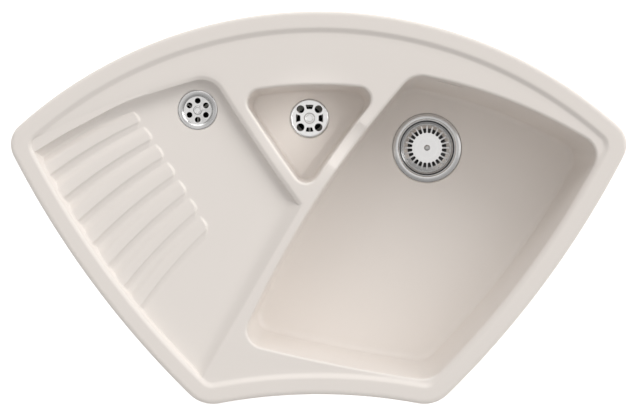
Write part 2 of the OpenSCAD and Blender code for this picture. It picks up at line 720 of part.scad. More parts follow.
// Puts a piece along the overflow port, from a distance inside the chamber's wall
module at_port(inside) {
    translate(basket_at) rotate([0, 0, port_angle]) translate([basket_chamber_r - inside, 0, port_z])
        rotate([0, 90, 0]) children();
}
module basket_waste_body() {
    bore_from = body_wall + over;
    color(plastic) difference() {
        union() {
            waste_body(basket_at, basket_bore_r, basket_boss_h, basket_chamber_r, basket_chamber_h,
                cup_bottom_z);
            at_port(body_wall * 0.8)
                cylinder(d = spigot_d + 2 * port_shoulder_w, h = body_wall * 0.8 + port_shoulder_h);
            at_port(0) cylinder(d = spigot_d, h = port_shoulder_h + spigot_l);
        }
        at_port(bore_from)
            cylinder(d = spigot_d - 2 * body_wall, h = bore_from + port_shoulder_h + spigot_l + over);
    }
}

module basket_insert_nut() { insert_nut(basket_at, cup_bottom_z, clamp_thread_r); }

// The clamping screw's hollow post guides the basket's stem
module basket_clamp_screw() {
    color(steel) translate(basket_at) difference() {
        union() {
            translate([0, 0, cup_bottom_z - nut_h]) cylinder(r = clamp_thread_r, h = nut_h + sheet_t + over);
            translate([0, 0, cup_floor_z]) cylinder(r = clamp_head_r, h = clamp_head_h, $fn = 6);
            translate([0, 0, cup_floor_z]) cylinder(r = post_r, h = post_h);
        }
        translate([0, 0, cup_floor_z + post_floor]) cylinder(r = stem_d / 2 + run_gap, h = post_h);
    }
}

// Basket levels: the disc lies just under the flange, and the rim's seal rests on the cup's step
disc_r = basket_disc_d / 2;
seal_h = 4.5;
seal_w = 4.5;
basket_r_out = upper_r - run_gap - seal_w;
basket_rim_z = step_z + run_gap + seal_h;
disc_z = basket_rim_z + basket_cone_h;
basket_t = 1;
// The skirt inside the lower cup
skirt_r = lower_r - cup_draft - run_gap;
skirt_h = 22;
// Width and drop of the rounded edge round the disc, width of the flat rim, and floor left under the slots
disc_edge_w = 1.5;
disc_edge_h = 0.5;
basket_rim_w = 1.5;
slot_floor = 0.2;

module basket_strainer() {
    cone_r = basket_r_out - basket_rim_w;
    flat_r = disc_r - disc_edge_w;
    edge_z = disc_z - disc_edge_h;
    under_z = basket_rim_z - basket_t;
    color(steel) translate(basket_at) difference() {
        rotate_extrude() polygon([[0, disc_z], [flat_r, disc_z], [disc_r, edge_z], [cone_r, basket_rim_z],
            [basket_r_out, basket_rim_z], [basket_r_out, under_z], [skirt_r, under_z],
            [skirt_r, basket_rim_z - skirt_h], [skirt_r - basket_t, basket_rim_z - skirt_h],
            [skirt_r - basket_t, under_z], [disc_r - disc_edge_h, edge_z - basket_t],
            [flat_r, disc_z - basket_t], [0, disc_z - basket_t]]);
        for (k = [0 : slot_count - 1]) rotate([0, 0, 360 / slot_count * (k + 0.5)])
            translate([disc_r + slot_w / 2, 0, basket_rim_z + slot_floor]) {
                cylinder(d = slot_w, h = basket_cone_h + over);
                translate([0, -slot_w / 2, 0])
                    cube([cone_r - disc_r - slot_w / 2, slot_w, basket_cone_h + over]);
            }
        translate([0, 0, disc_z - basket_t - over]) cylinder(r = pin_shank_r, h = basket_t + 2 * over);
    }
}

module basket_seal_ring() {
    color(rubber) translate(basket_at)
        tube(basket_r_out + seal_w, basket_r_out, basket_rim_z - seal_h, basket_rim_z);
}

// The centre pin and the stem that it holds
pin_shank_r = stem_d / 2 - 1;
pin_head_h = 1.4;
pin_taper = 0.6;
stem_collar_h = 3;
stem_collar_w = 3;
// Height of the stem's foot over the cup's floor
stem_clear = 4;
module basket_stem() {
    top = disc_z - basket_t;
    foot = cup_floor_z + stem_clear;
    color(steel) translate(basket_at) difference() {
        union() {
            translate([0, 0, top - stem_collar_h])
                cylinder(r = stem_d / 2 + stem_collar_w, h = stem_collar_h);
            translate([0, 0, foot]) cylinder(d = stem_d, h = top - foot);
        }
        translate([0, 0, top - stem_collar_h]) cylinder(r = pin_shank_r, h = stem_collar_h + over);
    }
}

module basket_pin() {
    bottom = disc_z - basket_t - stem_collar_h;
    color(steel) translate(basket_at) {
        translate([0, 0, bottom]) cylinder(r = pin_shank_r, h = basket_t + stem_collar_h + pin_head_h / 2);
        translate([0, 0, disc_z]) cylinder(r1 = pin_d / 2, r2 = pin_d / 2 - pin_taper, h = pin_head_h);
    }
}

// Sieve wastes
sieve_top = -flange_sink;
sieve_thread_r = 3;
sieve_collar_h = 8;
sieve_chamber_h = 18;
// Drop of the hubs below the casting
hub_drop = 6;
sieve_hub_top = -sieve_boss_h - hub_drop;
// Bend radius and edge drop of the pressed sieve
press_r = 1.5;
press_drop = 0.5;
// The flared openings: their gap from the screw, their length, and their half widths at each end
flare_gap = 4.8;
flare_l = 7.6;
flare_half = [3.4, 6.6];
// The screws: the head's height and edge, and its shallow cup as a share of the head and a depth
screw_head_h = 2;
screw_edge = 0.8;
screw_cup = [0.65, 0.8];
// The screws' slot: its length as a share of the head, its width, depth and turn
kerf_share = 0.6;
kerf_w = 1.8;
kerf_h = 1.6;
kerf_turn = 40;

// A thin ring between the casting's seat and the underside of a sieve
module sieve_seal(place, hole_r, under) {
    color(rubber) translate(place) tube(sieve_r - run_gap, hole_r + set_gap, -sieve_seat, under);
}

module small_sieve_seal() { sieve_seal(small_at, small_hole_r, sieve_top - sheet_t); }
module drainer_sieve_seal() { sieve_seal(drain_at, dish_hole_r, sieve_top - press_drop - sheet_t); }
module small_body_gasket() { body_gasket(small_at, small_hole_r, sieve_boss_h); }
module drainer_body_gasket() { body_gasket(drain_at, dish_hole_r, sieve_boss_h); }

// Flat sieve with four round holes between four flared ones
module small_sieve() {
    flare_in = small_screw_d / 2 + flare_gap;
    flare_out = flare_in + flare_l;
    cut_z = sieve_top - sheet_t - over;
    cut_h = sheet_t + 2 * over;
    color(steel) translate(small_at) difference() {
        union() {
            translate([0, 0, sieve_top - sheet_t]) cylinder(r = sieve_r, h = sheet_t);
            tube(small_hole_r - run_gap, small_hole_r - run_gap - sheet_t, sieve_top - sieve_collar_h,
                sieve_top - sheet_t / 2);
        }
        translate([0, 0, cut_z]) for (k = [0 : 3]) {
            rotate([0, 0, 45 + 90 * k]) translate([sieve_bore_at, 0, 0])
                cylinder(d = sieve_bore_d, h = cut_h);
            rotate([0, 0, 90 * k]) linear_extrude(height = cut_h)
                polygon([[flare_in, -flare_half[0]], [flare_out, -flare_half[1]],
                    [flare_out, flare_half[1]], [flare_in, flare_half[0]]]);
        }
        translate([0, 0, cut_z]) cylinder(r = sieve_thread_r + run_gap, h = cut_h);
    }
}

// Sieve with a dished middle and six round holes
module drainer_sieve() {
    in_r = dish_d / 2;
    low = sieve_top - dish_h;
    color(steel) translate(drain_at) difference() {
        rotate_extrude() polygon([[sieve_r, sieve_top - press_drop], [sieve_r - press_r, sieve_top],
            [in_r + press_r, sieve_top - 2 * press_drop], [in_r, sieve_top - 2 * press_drop - press_r],
            [in_r, low], [sieve_thread_r + run_gap, low], [sieve_thread_r + run_gap, low - sheet_t],
            [in_r + sheet_t, low - sheet_t], [in_r + sheet_t, sieve_top - press_drop - sheet_t],
            [sieve_r, sieve_top - press_drop - sheet_t]]);
        for (k = [0 : 5]) rotate([0, 0, 60 * k + 30]) translate([dish_bore_at, 0, low - sheet_t - over])
            cylinder(d = dish_bore_d, h = sheet_t + 2 * over);
    }
}

// A slotted sieve screw with a shallow cupped head
module sieve_screw(place, head_d, seat_z, hub_top) {
    head_top = seat_z + screw_head_h;
    kerf_l = head_d * kerf_share;
    color(steel) translate(place) difference() {
        union() {
            translate([0, 0, seat_z])
                cylinder(r1 = head_d / 2, r2 = head_d / 2 - screw_edge, h = screw_head_h);
            translate([0, 0, hub_top - nut_h])
                cylinder(r = sieve_thread_r, h = seat_z - hub_top + nut_h + over);
        }
        translate([0, 0, head_top - screw_cup[1]])
            cylinder(d = head_d * screw_cup[0], h = screw_cup[1] + over);
        rotate([0, 0, kerf_turn]) translate([-kerf_l / 2, -kerf_w / 2, head_top - kerf_h])
            cube([kerf_l, kerf_w, kerf_h + over]);
    }
}

module small_screw() { sieve_screw(small_at, small_screw_d, sieve_top, sieve_hub_top); }
module small_insert_nut() { insert_nut(small_at, sieve_hub_top, sieve_thread_r); }
module small_waste_body() {
    waste_body(small_at, small_hole_r, sieve_boss_h, small_hole_r + body_wall, sieve_chamber_h,
        sieve_hub_top);
}
module drainer_screw() { sieve_screw(drain_at, drain_screw_d, sieve_top - dish_h, sieve_hub_top); }
module drainer_insert_nut() { insert_nut(drain_at, sieve_hub_top, sieve_thread_r); }
module drainer_waste_body() {
    waste_body(drain_at, dish_hole_r, sieve_boss_h, dish_hole_r + body_wall, sieve_chamber_h, sieve_hub_top);
}

// Overflow connector: a plastic socket in a rubber grommet under the channel, with a hose spigot
grommet_r = channel_bore_d / 2;
grommet_t = 2.5;
connector_r = grommet_r - grommet_t;
// Width of the lip and the flange round the bore, their thicknesses, and how far both end below the channel
lip_w = 3;
lip_t = 2;
flange_t = 3;
bore_rest = 2;
module at_connector() { at_overflow() translate([channel_mid, 0, channel_bottom - wall]) children(); }

module overflow_grommet() {
    color(rubber) at_connector() {
        tube(grommet_r, connector_r, 0, wall - bore_rest);
        tube(grommet_r + lip_w, connector_r, -lip_t, 0);
    }
}

module overflow_connector() {
    flange_z = -lip_t - flange_t;
    color(plastic) at_connector() difference() {
        union() {
            translate([0, 0, -lip_t]) cylinder(r = connector_r, h = wall - bore_rest + lip_t);
            translate([0, 0, flange_z]) cylinder(r = grommet_r + lip_w, h = flange_t);
            translate([0, 0, flange_z - spigot_l]) cylinder(d = spigot_d, h = spigot_l);
        }
        translate([0, 0, flange_z - spigot_l - over])
            cylinder(d = spigot_d - 2 * body_wall, h = spigot_l - flange_z + wall + over);
    }
}

sink_body();
basket_flange_cup();
basket_flange_seal();
basket_body_gasket();
basket_waste_body();
basket_insert_nut();
basket_clamp_screw();
basket_strainer();
basket_seal_ring();
basket_stem();
basket_pin();
small_sieve();
small_sieve_seal();
small_body_gasket();
small_waste_body();
small_insert_nut();
small_screw();
drainer_sieve();
drainer_sieve_seal();
drainer_body_gasket();
drainer_waste_body();
drainer_insert_nut();
drainer_screw();
overflow_grommet();
overflow_connector();
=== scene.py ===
"""Corner kitchen sink in glazed ceramic, with a basket waste, two sieve wastes and an overflow.

Lengths are in millimetres until a mesh is made. A point in plan is a complex number, x + iy.
"""
import math

import bmesh
import bpy
import numpy as np
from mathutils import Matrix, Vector
from mathutils.geometry import delaunay_2d_cdt


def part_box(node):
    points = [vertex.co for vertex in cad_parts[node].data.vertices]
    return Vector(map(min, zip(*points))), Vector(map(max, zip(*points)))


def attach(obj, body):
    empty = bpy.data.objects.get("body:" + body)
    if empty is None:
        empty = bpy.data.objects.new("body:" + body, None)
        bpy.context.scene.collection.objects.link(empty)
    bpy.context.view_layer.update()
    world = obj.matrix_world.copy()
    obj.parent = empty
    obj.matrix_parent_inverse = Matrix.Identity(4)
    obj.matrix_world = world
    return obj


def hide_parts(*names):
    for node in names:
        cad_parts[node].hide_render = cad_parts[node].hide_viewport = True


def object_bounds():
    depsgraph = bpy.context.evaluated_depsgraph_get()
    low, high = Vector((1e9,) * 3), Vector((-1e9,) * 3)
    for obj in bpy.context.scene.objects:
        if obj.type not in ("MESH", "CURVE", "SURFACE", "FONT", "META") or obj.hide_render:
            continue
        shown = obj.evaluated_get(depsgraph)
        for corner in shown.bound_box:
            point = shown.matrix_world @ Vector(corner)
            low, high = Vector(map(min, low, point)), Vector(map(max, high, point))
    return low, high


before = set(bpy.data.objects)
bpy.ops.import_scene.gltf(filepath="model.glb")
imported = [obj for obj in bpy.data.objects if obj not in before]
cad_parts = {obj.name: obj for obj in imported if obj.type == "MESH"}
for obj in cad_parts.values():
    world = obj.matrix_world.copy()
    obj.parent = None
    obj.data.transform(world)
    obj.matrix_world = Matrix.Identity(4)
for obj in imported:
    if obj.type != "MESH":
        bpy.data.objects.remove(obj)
cad_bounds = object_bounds()

MM = 0.001


# Places taken from the frame
def middle(node):
    """A node's centre in plan."""
    low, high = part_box(node)
    return complex(low.x + high.x, low.y + high.y) / 2 / MM


def top_of(node):
    """A node's highest level."""
    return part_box(node)[1].z / MM


# How far the wastes' edges lie below the floors round them
FLANGE_SINK = 1.0
BASKET_AT = middle("basket_flange_cup")
SMALL_AT = middle("small_sieve")
DRAIN_AT = middle("drainer_sieve")
MAIN_FLOOR = top_of("basket_flange_cup") + FLANGE_SINK
SMALL_FLOOR = top_of("small_sieve") + FLANGE_SINK
DRAIN_FLOOR = top_of("drainer_sieve") + FLANGE_SINK
RIM_TOP = top_of("sink_body")

# The casting's driving sizes
RIM_CORNERS = [501 - 132j, -501 - 132j, -185.5 - 560j, 185.5 - 560j]
RIM_RISES = [204, 24, -20, 24]
RIM_RADII = [40, 40, 54, 54]
LEDGE_CORNER_R = 50
LEDGE_STEP = 4.0
LEDGE = RIM_TOP - LEDGE_STEP
SLOPE_AT = 30.4
SLOPE_HALF = 5.6
RIM_EDGE_R = 5.0
RIM_FOOT_R = 1.5
SEAT_W = 21.0
WALL = 11.0
FLOOR_T = 13.0
RIDGE_W = 20.0
MOUTH_R = 5.0
UNDER_TOP = LEDGE - 3

MAIN_CORNERS = [-125 - 456j, 179 - 517.5j, 454.5 - 150j, 150 - 29j]
MAIN_RISES = [4, None, 17, 20.5]
MAIN_RADII = [28, 42, 32, 36]
MAIN_RIM_INSET = 35.5
MAIN_LEAN = [19, 16, 12, 3]
MAIN_SHELL_R = 18.0
MAIN_FALL = 1.2
MAIN_FOOT_R = 11.0

SMALL_CORNERS = [-18 - 219j, 103 - 55j, -127 - 59.5j]
SMALL_RISES = [None, 11, 1.5]
SMALL_RADII = [20, 20, 20]
SMALL_LEAN = [4, 4, 4]
SMALL_SHELL_R = 10.0
SMALL_FALL = 2.0
SMALL_FOOT_R = 7.0
SADDLE_AT = 104.0
SADDLE_L = 83.0
SADDLE_DROP = 7.0

DRAIN_CORNERS = [-25 - 235j, -172 - 31j, -459 - 139j, -188 - 516j]
DRAIN_RISES = [None, 8.5, None, 0]
DRAIN_RADII = [12, 42, 14, 12]
DRAIN_RIM_INSET = 35.0
DRAIN_FALL = 1.6
DRAIN_WALL_LEAN = [-3.5, -5, -2.9, -40]
DRAIN_WALL_EDGE = 1.4
LEFT_WALL_SLOPE = 2.5
LEFT_WALL_FOOT = 2.5
BEVEL_W = 6.0
BACK_BEVEL = 0.28
SIDE_BEVEL = 0.5
BACK_FILLET_L = 29.0
SIDE_FILLET_L = 17.0
DRAIN_FRONT_SLOPE = 0.7
DRAIN_FRONT_SOFT = 6.0
# Where one kind of wall passes into the next: distances from the left side and from the right one
LEFT_WALL_END = [12, 50]
SIDE_WALL_END = [15, 60]
LEAST_FOOT = 0.02

RIB_COUNT = 7
RIB_START = -427 - 187j
RIB_STEP = 42.6
RIB_STEP_ANGLE = -56.2
RIB_ANGLE = 30.5
RIB_TURN = 3.1
RIB_L = 168.0
RIB_BOW = 4.5
RIB_H = 8.5
RIB_END_H = 3.0
RIB_FADE = 0.35
RIB_SIDE = 14.0
RIB_SIDE_TAPER = 0.1
RIB_CREST = 0.42
RIB_SHARP = 0.3
RIB_SHARP_SHARE = 0.3
RIB_NOSE = 4.5
RIB_NOSE_CURVE = 2.5
RIB_NOSE_TURN = 0.25
RIB_NOSE_BACK = 14.0
RIB_SINK = [1.0, 2.0]
SINK_END = [RIB_COUNT - 0.6, RIB_COUNT + 1.5]
RAMP_SOFT = 0.3
CREST_SOFT = 0.12
FIRST_STEP_SIDE = 0.8
FIRST_STEP_TURN = 0.12
FIRST_STEP_BEND = [90, 180]
FIRST_STEP_TO = 200.0

OVERFLOW_ALONG = 62.0
OVERFLOW_W = 42.0
OVERFLOW_H = 11.0
OVERFLOW_DROP = 26.0
CHANNEL_T = 30.0
CHANNEL_H = 46.0
CHANNEL_SIDE = 4.0
CHANNEL_ROOF = 2.0
CHANNEL_FROM = 8.0
CHANNEL_BORE_R = 14.0
CHANNEL_CORNER_R = 5.0

CORNER_STEPS = 14
FOLLOW = 0.6
MERGE = 0.01
# In metres: the turned pieces' merging distance, and the edge length under which an edge is dissolved
TURNED_MERGE = 1e-7
LEAST_EDGE = 1e-8


# Plan geometry
def arc_side(start, end, rise):
    """An arc as its centre and signed radius, which is positive where the side bulges out."""
    rise = rise if abs(rise) > 0.05 else 0.05
    chord = abs(end - start)
    radius = (chord * chord / 4 + rise * rise) / (2 * rise)
    return (start + end) / 2 - 1j * (end - start) / chord * (rise - radius), radius


def crossing(c1, r1, c2, r2, near):
    """Where two circles cross, on the side of a given point."""
    gap = abs(c2 - c1)
    along = (c2 - c1) / gap
    part = (r1 * r1 - r2 * r2 + gap * gap) / (2 * gap)
    rise = math.sqrt(max(0.0, r1 * r1 - part * part))
    return min((c1 + along * (part + 1j * side * rise) for side in (1, -1)), key=lambda m: abs(m - near))


def arc_points(centre, start, end, steps):
    """Points along an arc, without the last."""
    turn = np.angle((end - centre) / (start - centre))
    return list(centre + (start - centre) * np.exp(1j * turn * np.arange(steps) / steps))


class Outline:
    """A closed outline of arcs with rounded corners, anticlockwise. Corner k lies before side k."""

    def __init__(self, sides, corners, radii, pitch):
        self.sides = sides
        self.corners = corners
        self.radii = radii
        ends = corners[1:] + corners[:1]
        self.steps = [max(6, round(abs(b - a) / pitch)) for a, b in zip(corners, ends)]

    def ring(self, inset=0.0, lean=None, follow=1.0):
        """The outline moved inwards, with equal point counts at every inset."""
        n = len(self.sides)
        lean = lean or [0.0] * n
        radii = [max(1.0, r - follow * inset) for r in self.radii]
        reach = [self.sides[k][1] - inset - lean[k] for k in range(n)]
        middles = [crossing(self.sides[k - 1][0], abs(reach[k - 1] - radii[k]),
                            self.sides[k][0], abs(reach[k] - radii[k]), self.corners[k]) for k in range(n)]

        def touch(k, m):
            away = m - self.sides[k][0]
            return self.sides[k][0] + away / abs(away) * abs(reach[k])

        points = []
        for k in range(n):
            here, after = middles[k], middles[(k + 1) % n]
            points += arc_points(here, touch(k - 1, here), touch(k, here), CORNER_STEPS)
            points += arc_points(self.sides[k][0], touch(k, here), touch(k, after), self.steps[k])
        return np.array(points)


def depth_inside(points, ring):
    """Distance from each point to a closed ring, positive inside it."""
    start, end = ring, np.roll(ring, -1)
    step = end - start
    climb = np.where(step.imag == 0, 1e-9, step.imag)
    result = np.empty(len(points))
    for first in range(0, len(points), 2000):
        p = points[first:first + 2000, None]
        share = np.clip(((p - start) * step.conj()).real / np.abs(step) ** 2, 0, 1)
        gap = np.abs(p - start - share * step).min(axis=1)
        crosses = (start.imag > p.imag) != (end.imag > p.imag)
        left = p.real < start.real + (p.imag - start.imag) / climb * step.real
        inside = (crosses & left).sum(axis=1) % 2 == 1
        result[first:first + 2000] = np.where(inside, gap, -gap)
    return result


def ease(value, low, high):
    """0 below low, 1 above high, smooth between."""
    share = np.clip((value - low) / (high - low), 0, 1)
    return share * share * (3 - 2 * share)


def soft_max(one, other, reach):
    """The larger of two heights, rounded where they come within a reach of each other."""
    near = np.clip(reach - np.abs(one - other), 0, None)
    return np.maximum(one, other) + near ** 2 / (4 * reach)


def soft_min(one, other, reach):
    return -soft_max(-one, -other, reach)


def inset_side(side, inset):
    return side[0], side[1] - inset


def across(side, gap):
    """The side of the next hollow, across a ridge."""
    return side[0], -(side[1] + gap)


def own_sides(corners, rises):
    ends = corners[1:] + corners[:1]
    return [rise if rise is None else arc_side(a, b, rise) for a, b, rise in zip(corners, ends, rises)]


rim_sides = own_sides(RIM_CORNERS, RIM_RISES)
main_sides = own_sides(MAIN_CORNERS, MAIN_RISES)
main_sides[1] = inset_side(rim_sides[3], MAIN_RIM_INSET)
small_sides = own_sides(SMALL_CORNERS, SMALL_RISES)
small_sides[0] = across(main_sides[3], RIDGE_W)
drain_sides = own_sides(DRAIN_CORNERS, DRAIN_RISES)
drain_sides[0] = across(small_sides[2], RIDGE_W)
drain_sides[2] = inset_side(rim_sides[1], DRAIN_RIM_INSET)

rim = Outline(rim_sides, RIM_CORNERS, RIM_RADII, 6.0)
ledge = Outline(rim_sides, RIM_CORNERS, [LEDGE_CORNER_R] * 4, 4.5)
main = Outline(main_sides, MAIN_CORNERS, MAIN_RADII, 3.0)
small = Outline(small_sides, SMALL_CORNERS, SMALL_RADII, 2.5)
drain = Outline(drain_sides, DRAIN_CORNERS, DRAIN_RADII, 2.6)


def falling_floor(level, waste, fall):
    """A floor that falls to the back, and its height over each point."""
    slope = math.tan(math.radians(fall))
    return lambda points: level + slope * (waste.imag - points.imag)


main_floor = falling_floor(MAIN_FLOOR, BASKET_AT, MAIN_FALL)
small_floor = falling_floor(SMALL_FLOOR, SMALL_AT, SMALL_FALL)
drain_floor = falling_floor(DRAIN_FLOOR, DRAIN_AT, DRAIN_FALL)


# The ribbed board: a place counts the ribs from the back, and a run is the distance from the rim
def heading(degrees):
    return np.exp(1j * np.radians(degrees))


def board_point(place, run):
    angle = RIB_ANGLE + RIB_TURN * place
    share = run / RIB_L
    bow = 4 * RIB_BOW * share * (1 - share)
    return RIB_START + RIB_STEP * place * heading(RIB_STEP_ANGLE) + (run + 1j * bow) * heading(angle)


def board_place(points):
    """The place and run of each point, by a few steps of Newton's rule."""
    place = np.full(len(points), 3.0)
    for _ in range(8):
        turned = (points - RIB_START - RIB_STEP * place * heading(RIB_STEP_ANGLE)) \
            / heading(RIB_ANGLE + RIB_TURN * place)
        run = turned.real
        share = run / RIB_L
        off = turned.imag - 4 * RIB_BOW * share * (1 - share)
        slope = -RIB_STEP * math.sin(math.radians(RIB_STEP_ANGLE - RIB_ANGLE)) - run * math.radians(RIB_TURN)
        place = np.clip(place - off / np.maximum(slope, 5.0), -4, RIB_COUNT + 3)
    return place, np.clip(run, -60, RIB_L + 60)


def side_share(run):
    """Share of the step taken by a rib's steep side."""
    return RIB_SIDE / RIB_STEP * (1 - RIB_SIDE_TAPER * np.clip(run / RIB_L, 0, 1))


def rib_height(number, run):
    share = np.clip(run / RIB_L, 0, 1)
    return (RIB_H - RIB_FADE * number) * (1 - share) + RIB_END_H * share


def steep_fall(down):
    """A rib's steep side, from 1 at its crest to 0 at its foot: sharp at first, then an even slope."""
    first = RIB_SHARP_SHARE * np.clip(1 - down / RIB_SHARP, 0, None) ** 2
    return np.where(down < 0, 1 - 3 * down, (1 - RIB_SHARP_SHARE) * np.clip(1 - down, 0, 1) + first)


def rib_lift(number, place, run):
    """Height of one rib: a ramp up from the groove before it, a crest, a steep side and a rounded nose."""
    side = side_share(run)
    foot = number - 1 + side
    crest = number - RIB_CREST
    ramp = np.clip(soft_min((place - foot) / (crest - foot), 1, RAMP_SOFT), 0, 1)
    down = np.clip((place - number) / side, -1, 1)
    up = np.clip((place - foot) / (number - foot), 0, 1)
    past = np.clip((place - number + RIB_NOSE_TURN) / (side + RIB_NOSE_TURN), 0, 1)
    end = RIB_L - RIB_NOSE_CURVE * (1 - up) ** 2 - RIB_NOSE_BACK * past ** 2
    share = np.maximum(soft_min(ramp, steep_fall(down), CREST_SOFT), 0)
    share = share * (1 - ease(run, end - RIB_NOSE, end))
    return np.where((number >= 0) & (number < RIB_COUNT), rib_height(number, run) * share, 0)


def board_lift(place, run):
    """Height of the ribs over the drainer's floor."""
    ahead = np.ceil(place)
    return np.maximum(rib_lift(ahead, place, run), rib_lift(ahead - 1, place, run))


def board_sink(place, run):
    """How far the grooves lie below the drainer's floor, most at the last ribs' outer ends."""
    first, last = RIB_SINK
    depth = first + (last - first) * np.clip(place / (RIB_COUNT - 1), 0, 1)
    return depth * (1 - ease(place, *SINK_END)) * (1 - np.clip(run / RIB_L, 0, 1))


# The height of the top surface
slope_ring = ledge.ring(SLOPE_AT)
main_mouth = main.ring()
small_mouth = small.ring()
drain_mouth = drain.ring()
drain_wall_line = drain.ring(0, DRAIN_WALL_LEAN)


def mouth_drop(outside):
    """How far a bowl's rounded mouth has fallen, at a distance outside the opening."""
    left = np.clip(MOUTH_R + MERGE - outside, 0, MOUTH_R)
    return MOUTH_R - np.sqrt(MOUTH_R ** 2 - left ** 2)


def arc_place(side, start, along):
    """The point at a distance along an arc from its start, and the arc's outward heading there."""
    away = start - side[0]
    point = side[0] + away * np.exp(1j * along / side[1])
    return point, (point - side[0]) / abs(point - side[0])


saddle_at, saddle_in = arc_place(small_sides[0], SMALL_CORNERS[1], -SADDLE_AT)


def saddle_dip(points):
    """Depth of the saddle in the ridge between the two bowls."""
    turned = (saddle_at - points) / saddle_in
    radius = (SADDLE_L ** 2 / 4 + SADDLE_DROP ** 2) / (2 * SADDLE_DROP)
    dip = SADDLE_DROP - radius + np.sqrt(np.maximum(radius ** 2 - turned.imag ** 2, 0))
    near = np.abs(turned.real - RIDGE_W / 2) < RIDGE_W
    return np.where(near & (np.abs(turned.imag) < SADDLE_L / 2), dip, 0)


def front_depth(points):
    """Depth behind the drainer's straight front side."""
    along = DRAIN_CORNERS[0] - DRAIN_CORNERS[3]
    return ((points - DRAIN_CORNERS[3]) * np.conj(along)).imag / abs(along)


def inside_side(points, side):
    """Distance inside one side's arc."""
    return math.copysign(1, side[1]) * (abs(side[1]) - np.abs(points - side[0]))


def first_step(place, run, plain):
    """The step down from the ledge to the board, one rib's distance behind the first rib."""
    away = place + 1 + FIRST_STEP_TURN * ease(run, *FIRST_STEP_BEND)
    down = np.clip(away / (FIRST_STEP_SIDE * side_share(run)), -1, 1)
    return plain + (LEDGE - plain) * np.clip(steep_fall(down), 0, 1)


def drainer_surface(points):
    """The ribbed floor, a steep wall at the left, bevelled ones behind and beside, a gentle one in front."""
    place, run = board_place(points)
    plain = drain_floor(points)
    bottom = plain + board_lift(place, run) - board_sink(place, run)
    front = LEDGE - DRAIN_FRONT_SLOPE * front_depth(points)
    inside = depth_inside(points, drain_wall_line)
    far = ease(inside_side(points, drain_sides[2]), *LEFT_WALL_END)
    beside = 1 - ease(inside_side(points, drain_sides[0]), *SIDE_WALL_END)
    bevel = BACK_BEVEL + (SIDE_BEVEL - BACK_BEVEL) * beside
    fillet = BACK_FILLET_L + (SIDE_FILLET_L - BACK_FILLET_L) * beside
    top = LEDGE - bevel * np.minimum(inside, BEVEL_W)
    left = np.clip(1 - (inside - BEVEL_W) / fillet, 0, 1) ** 3
    wall = far * (plain + (top - plain) * left) + (1 - far) * (LEDGE - LEFT_WALL_SLOPE * inside)
    foot = LEAST_FOOT + LEFT_WALL_FOOT * (1 - far) + far * left
    surface = soft_max(soft_max(bottom, front, DRAIN_FRONT_SOFT), wall, foot)
    return np.maximum(surface, np.where(run < FIRST_STEP_TO, first_step(place, run, plain), surface))


# How far outside its mouth the drainer's walls are reckoned
DRAIN_REACH = 9


def top_height(points):
    base = RIM_TOP - LEDGE_STEP * ease(depth_inside(points, slope_ring), -SLOPE_HALF, SLOPE_HALF)
    near = depth_inside(points, drain_mouth) > -DRAIN_REACH
    base[near] = soft_min(base[near], drainer_surface(points[near]), DRAIN_WALL_EDGE)
    mouths = mouth_drop(-depth_inside(points, main_mouth)) + mouth_drop(-depth_inside(points, small_mouth))
    return base - mouths - saddle_dip(points)


# Meshes
def linked(name, data):
    """A new object in the scene."""
    piece = bpy.data.objects.new(name, data)
    bpy.context.scene.collection.objects.link(piece)
    return piece


class Skin:
    """Vertices and faces that grow ring by ring. A ring is plan points, anticlockwise, and their heights."""

    def __init__(self):
        self.points = []
        self.faces = []

    def add(self, plan, heights):
        """Adds vertices and returns their indices."""
        heights = np.broadcast_to(np.asarray(heights, float), (len(plan),))
        first = len(self.points)
        self.points += [(p.real, p.imag, z) for p, z in zip(plan, heights)]
        return list(range(first, len(self.points)))

    def bands(self, rings):
        """Quads between rings of equal counts, from the top down. Returns the end rings' indices."""
        placed = [self.add(*ring) for ring in rings]
        for upper, lower in zip(placed, placed[1:]):
            self.faces += zip(upper, upper[1:] + upper[:1], lower[1:] + lower[:1], lower)
        return placed[0], placed[-1]

    def fan(self, ring, point):
        centre = len(self.points)
        self.points.append(point)
        self.faces += [(a, b, centre) for a, b in zip(ring, ring[1:] + ring[:1])]

    def cover(self, plan, triangles, height):
        """Triangles over plan points, at a height that depends on the point."""
        index = self.add(plan, height(plan))
        self.faces += [tuple(index[c] for c in corners) for corners in triangles]

    def build(self, name):
        mesh = bpy.data.meshes.new(name)
        mesh.from_pydata([(x * MM, y * MM, z * MM) for x, y, z in self.points], [], self.faces)
        work = bmesh.new()
        work.from_mesh(mesh)
        return finished(name, work, mesh, MERGE * MM)


def finished(name, work, mesh, merge):
    """A piece from a mesh in work. Doubled vertices are merged and every face is turned outwards."""
    bmesh.ops.remove_doubles(work, verts=work.verts, dist=merge)
    bmesh.ops.dissolve_degenerate(work, edges=work.edges, dist=LEAST_EDGE)
    bmesh.ops.recalc_face_normals(work, faces=work.faces)
    work.to_mesh(mesh)
    work.free()
    return linked(name, mesh)


def loft(name, rings):
    """A closed solid through rings, from the top one down."""
    skin = Skin()
    for ring, (plan, heights) in zip(skin.bands(rings), (rings[0], rings[-1])):
        skin.fan(ring, (plan.mean().real, plan.mean().imag, float(np.mean(heights))))
    return skin.build(name)


def prism(name, outline, low, high):
    """An upright prism over a closed outline of complex points, anticlockwise."""
    ring = np.array(outline)
    return loft(name, [(ring, high), (ring, low)])


def baked(piece):
    """Turns a piece's modifiers into plain mesh."""
    graph = bpy.context.evaluated_depsgraph_get()
    mesh = bpy.data.meshes.new_from_object(piece.evaluated_get(graph))
    piece.modifiers.clear()
    old = piece.data
    piece.data = mesh
    mesh.name = piece.name
    bpy.data.meshes.remove(old)


def discard(piece):
    """Removes a piece that was only a tool."""
    mesh = piece.data
    bpy.data.objects.remove(piece)
    bpy.data.meshes.remove(mesh)


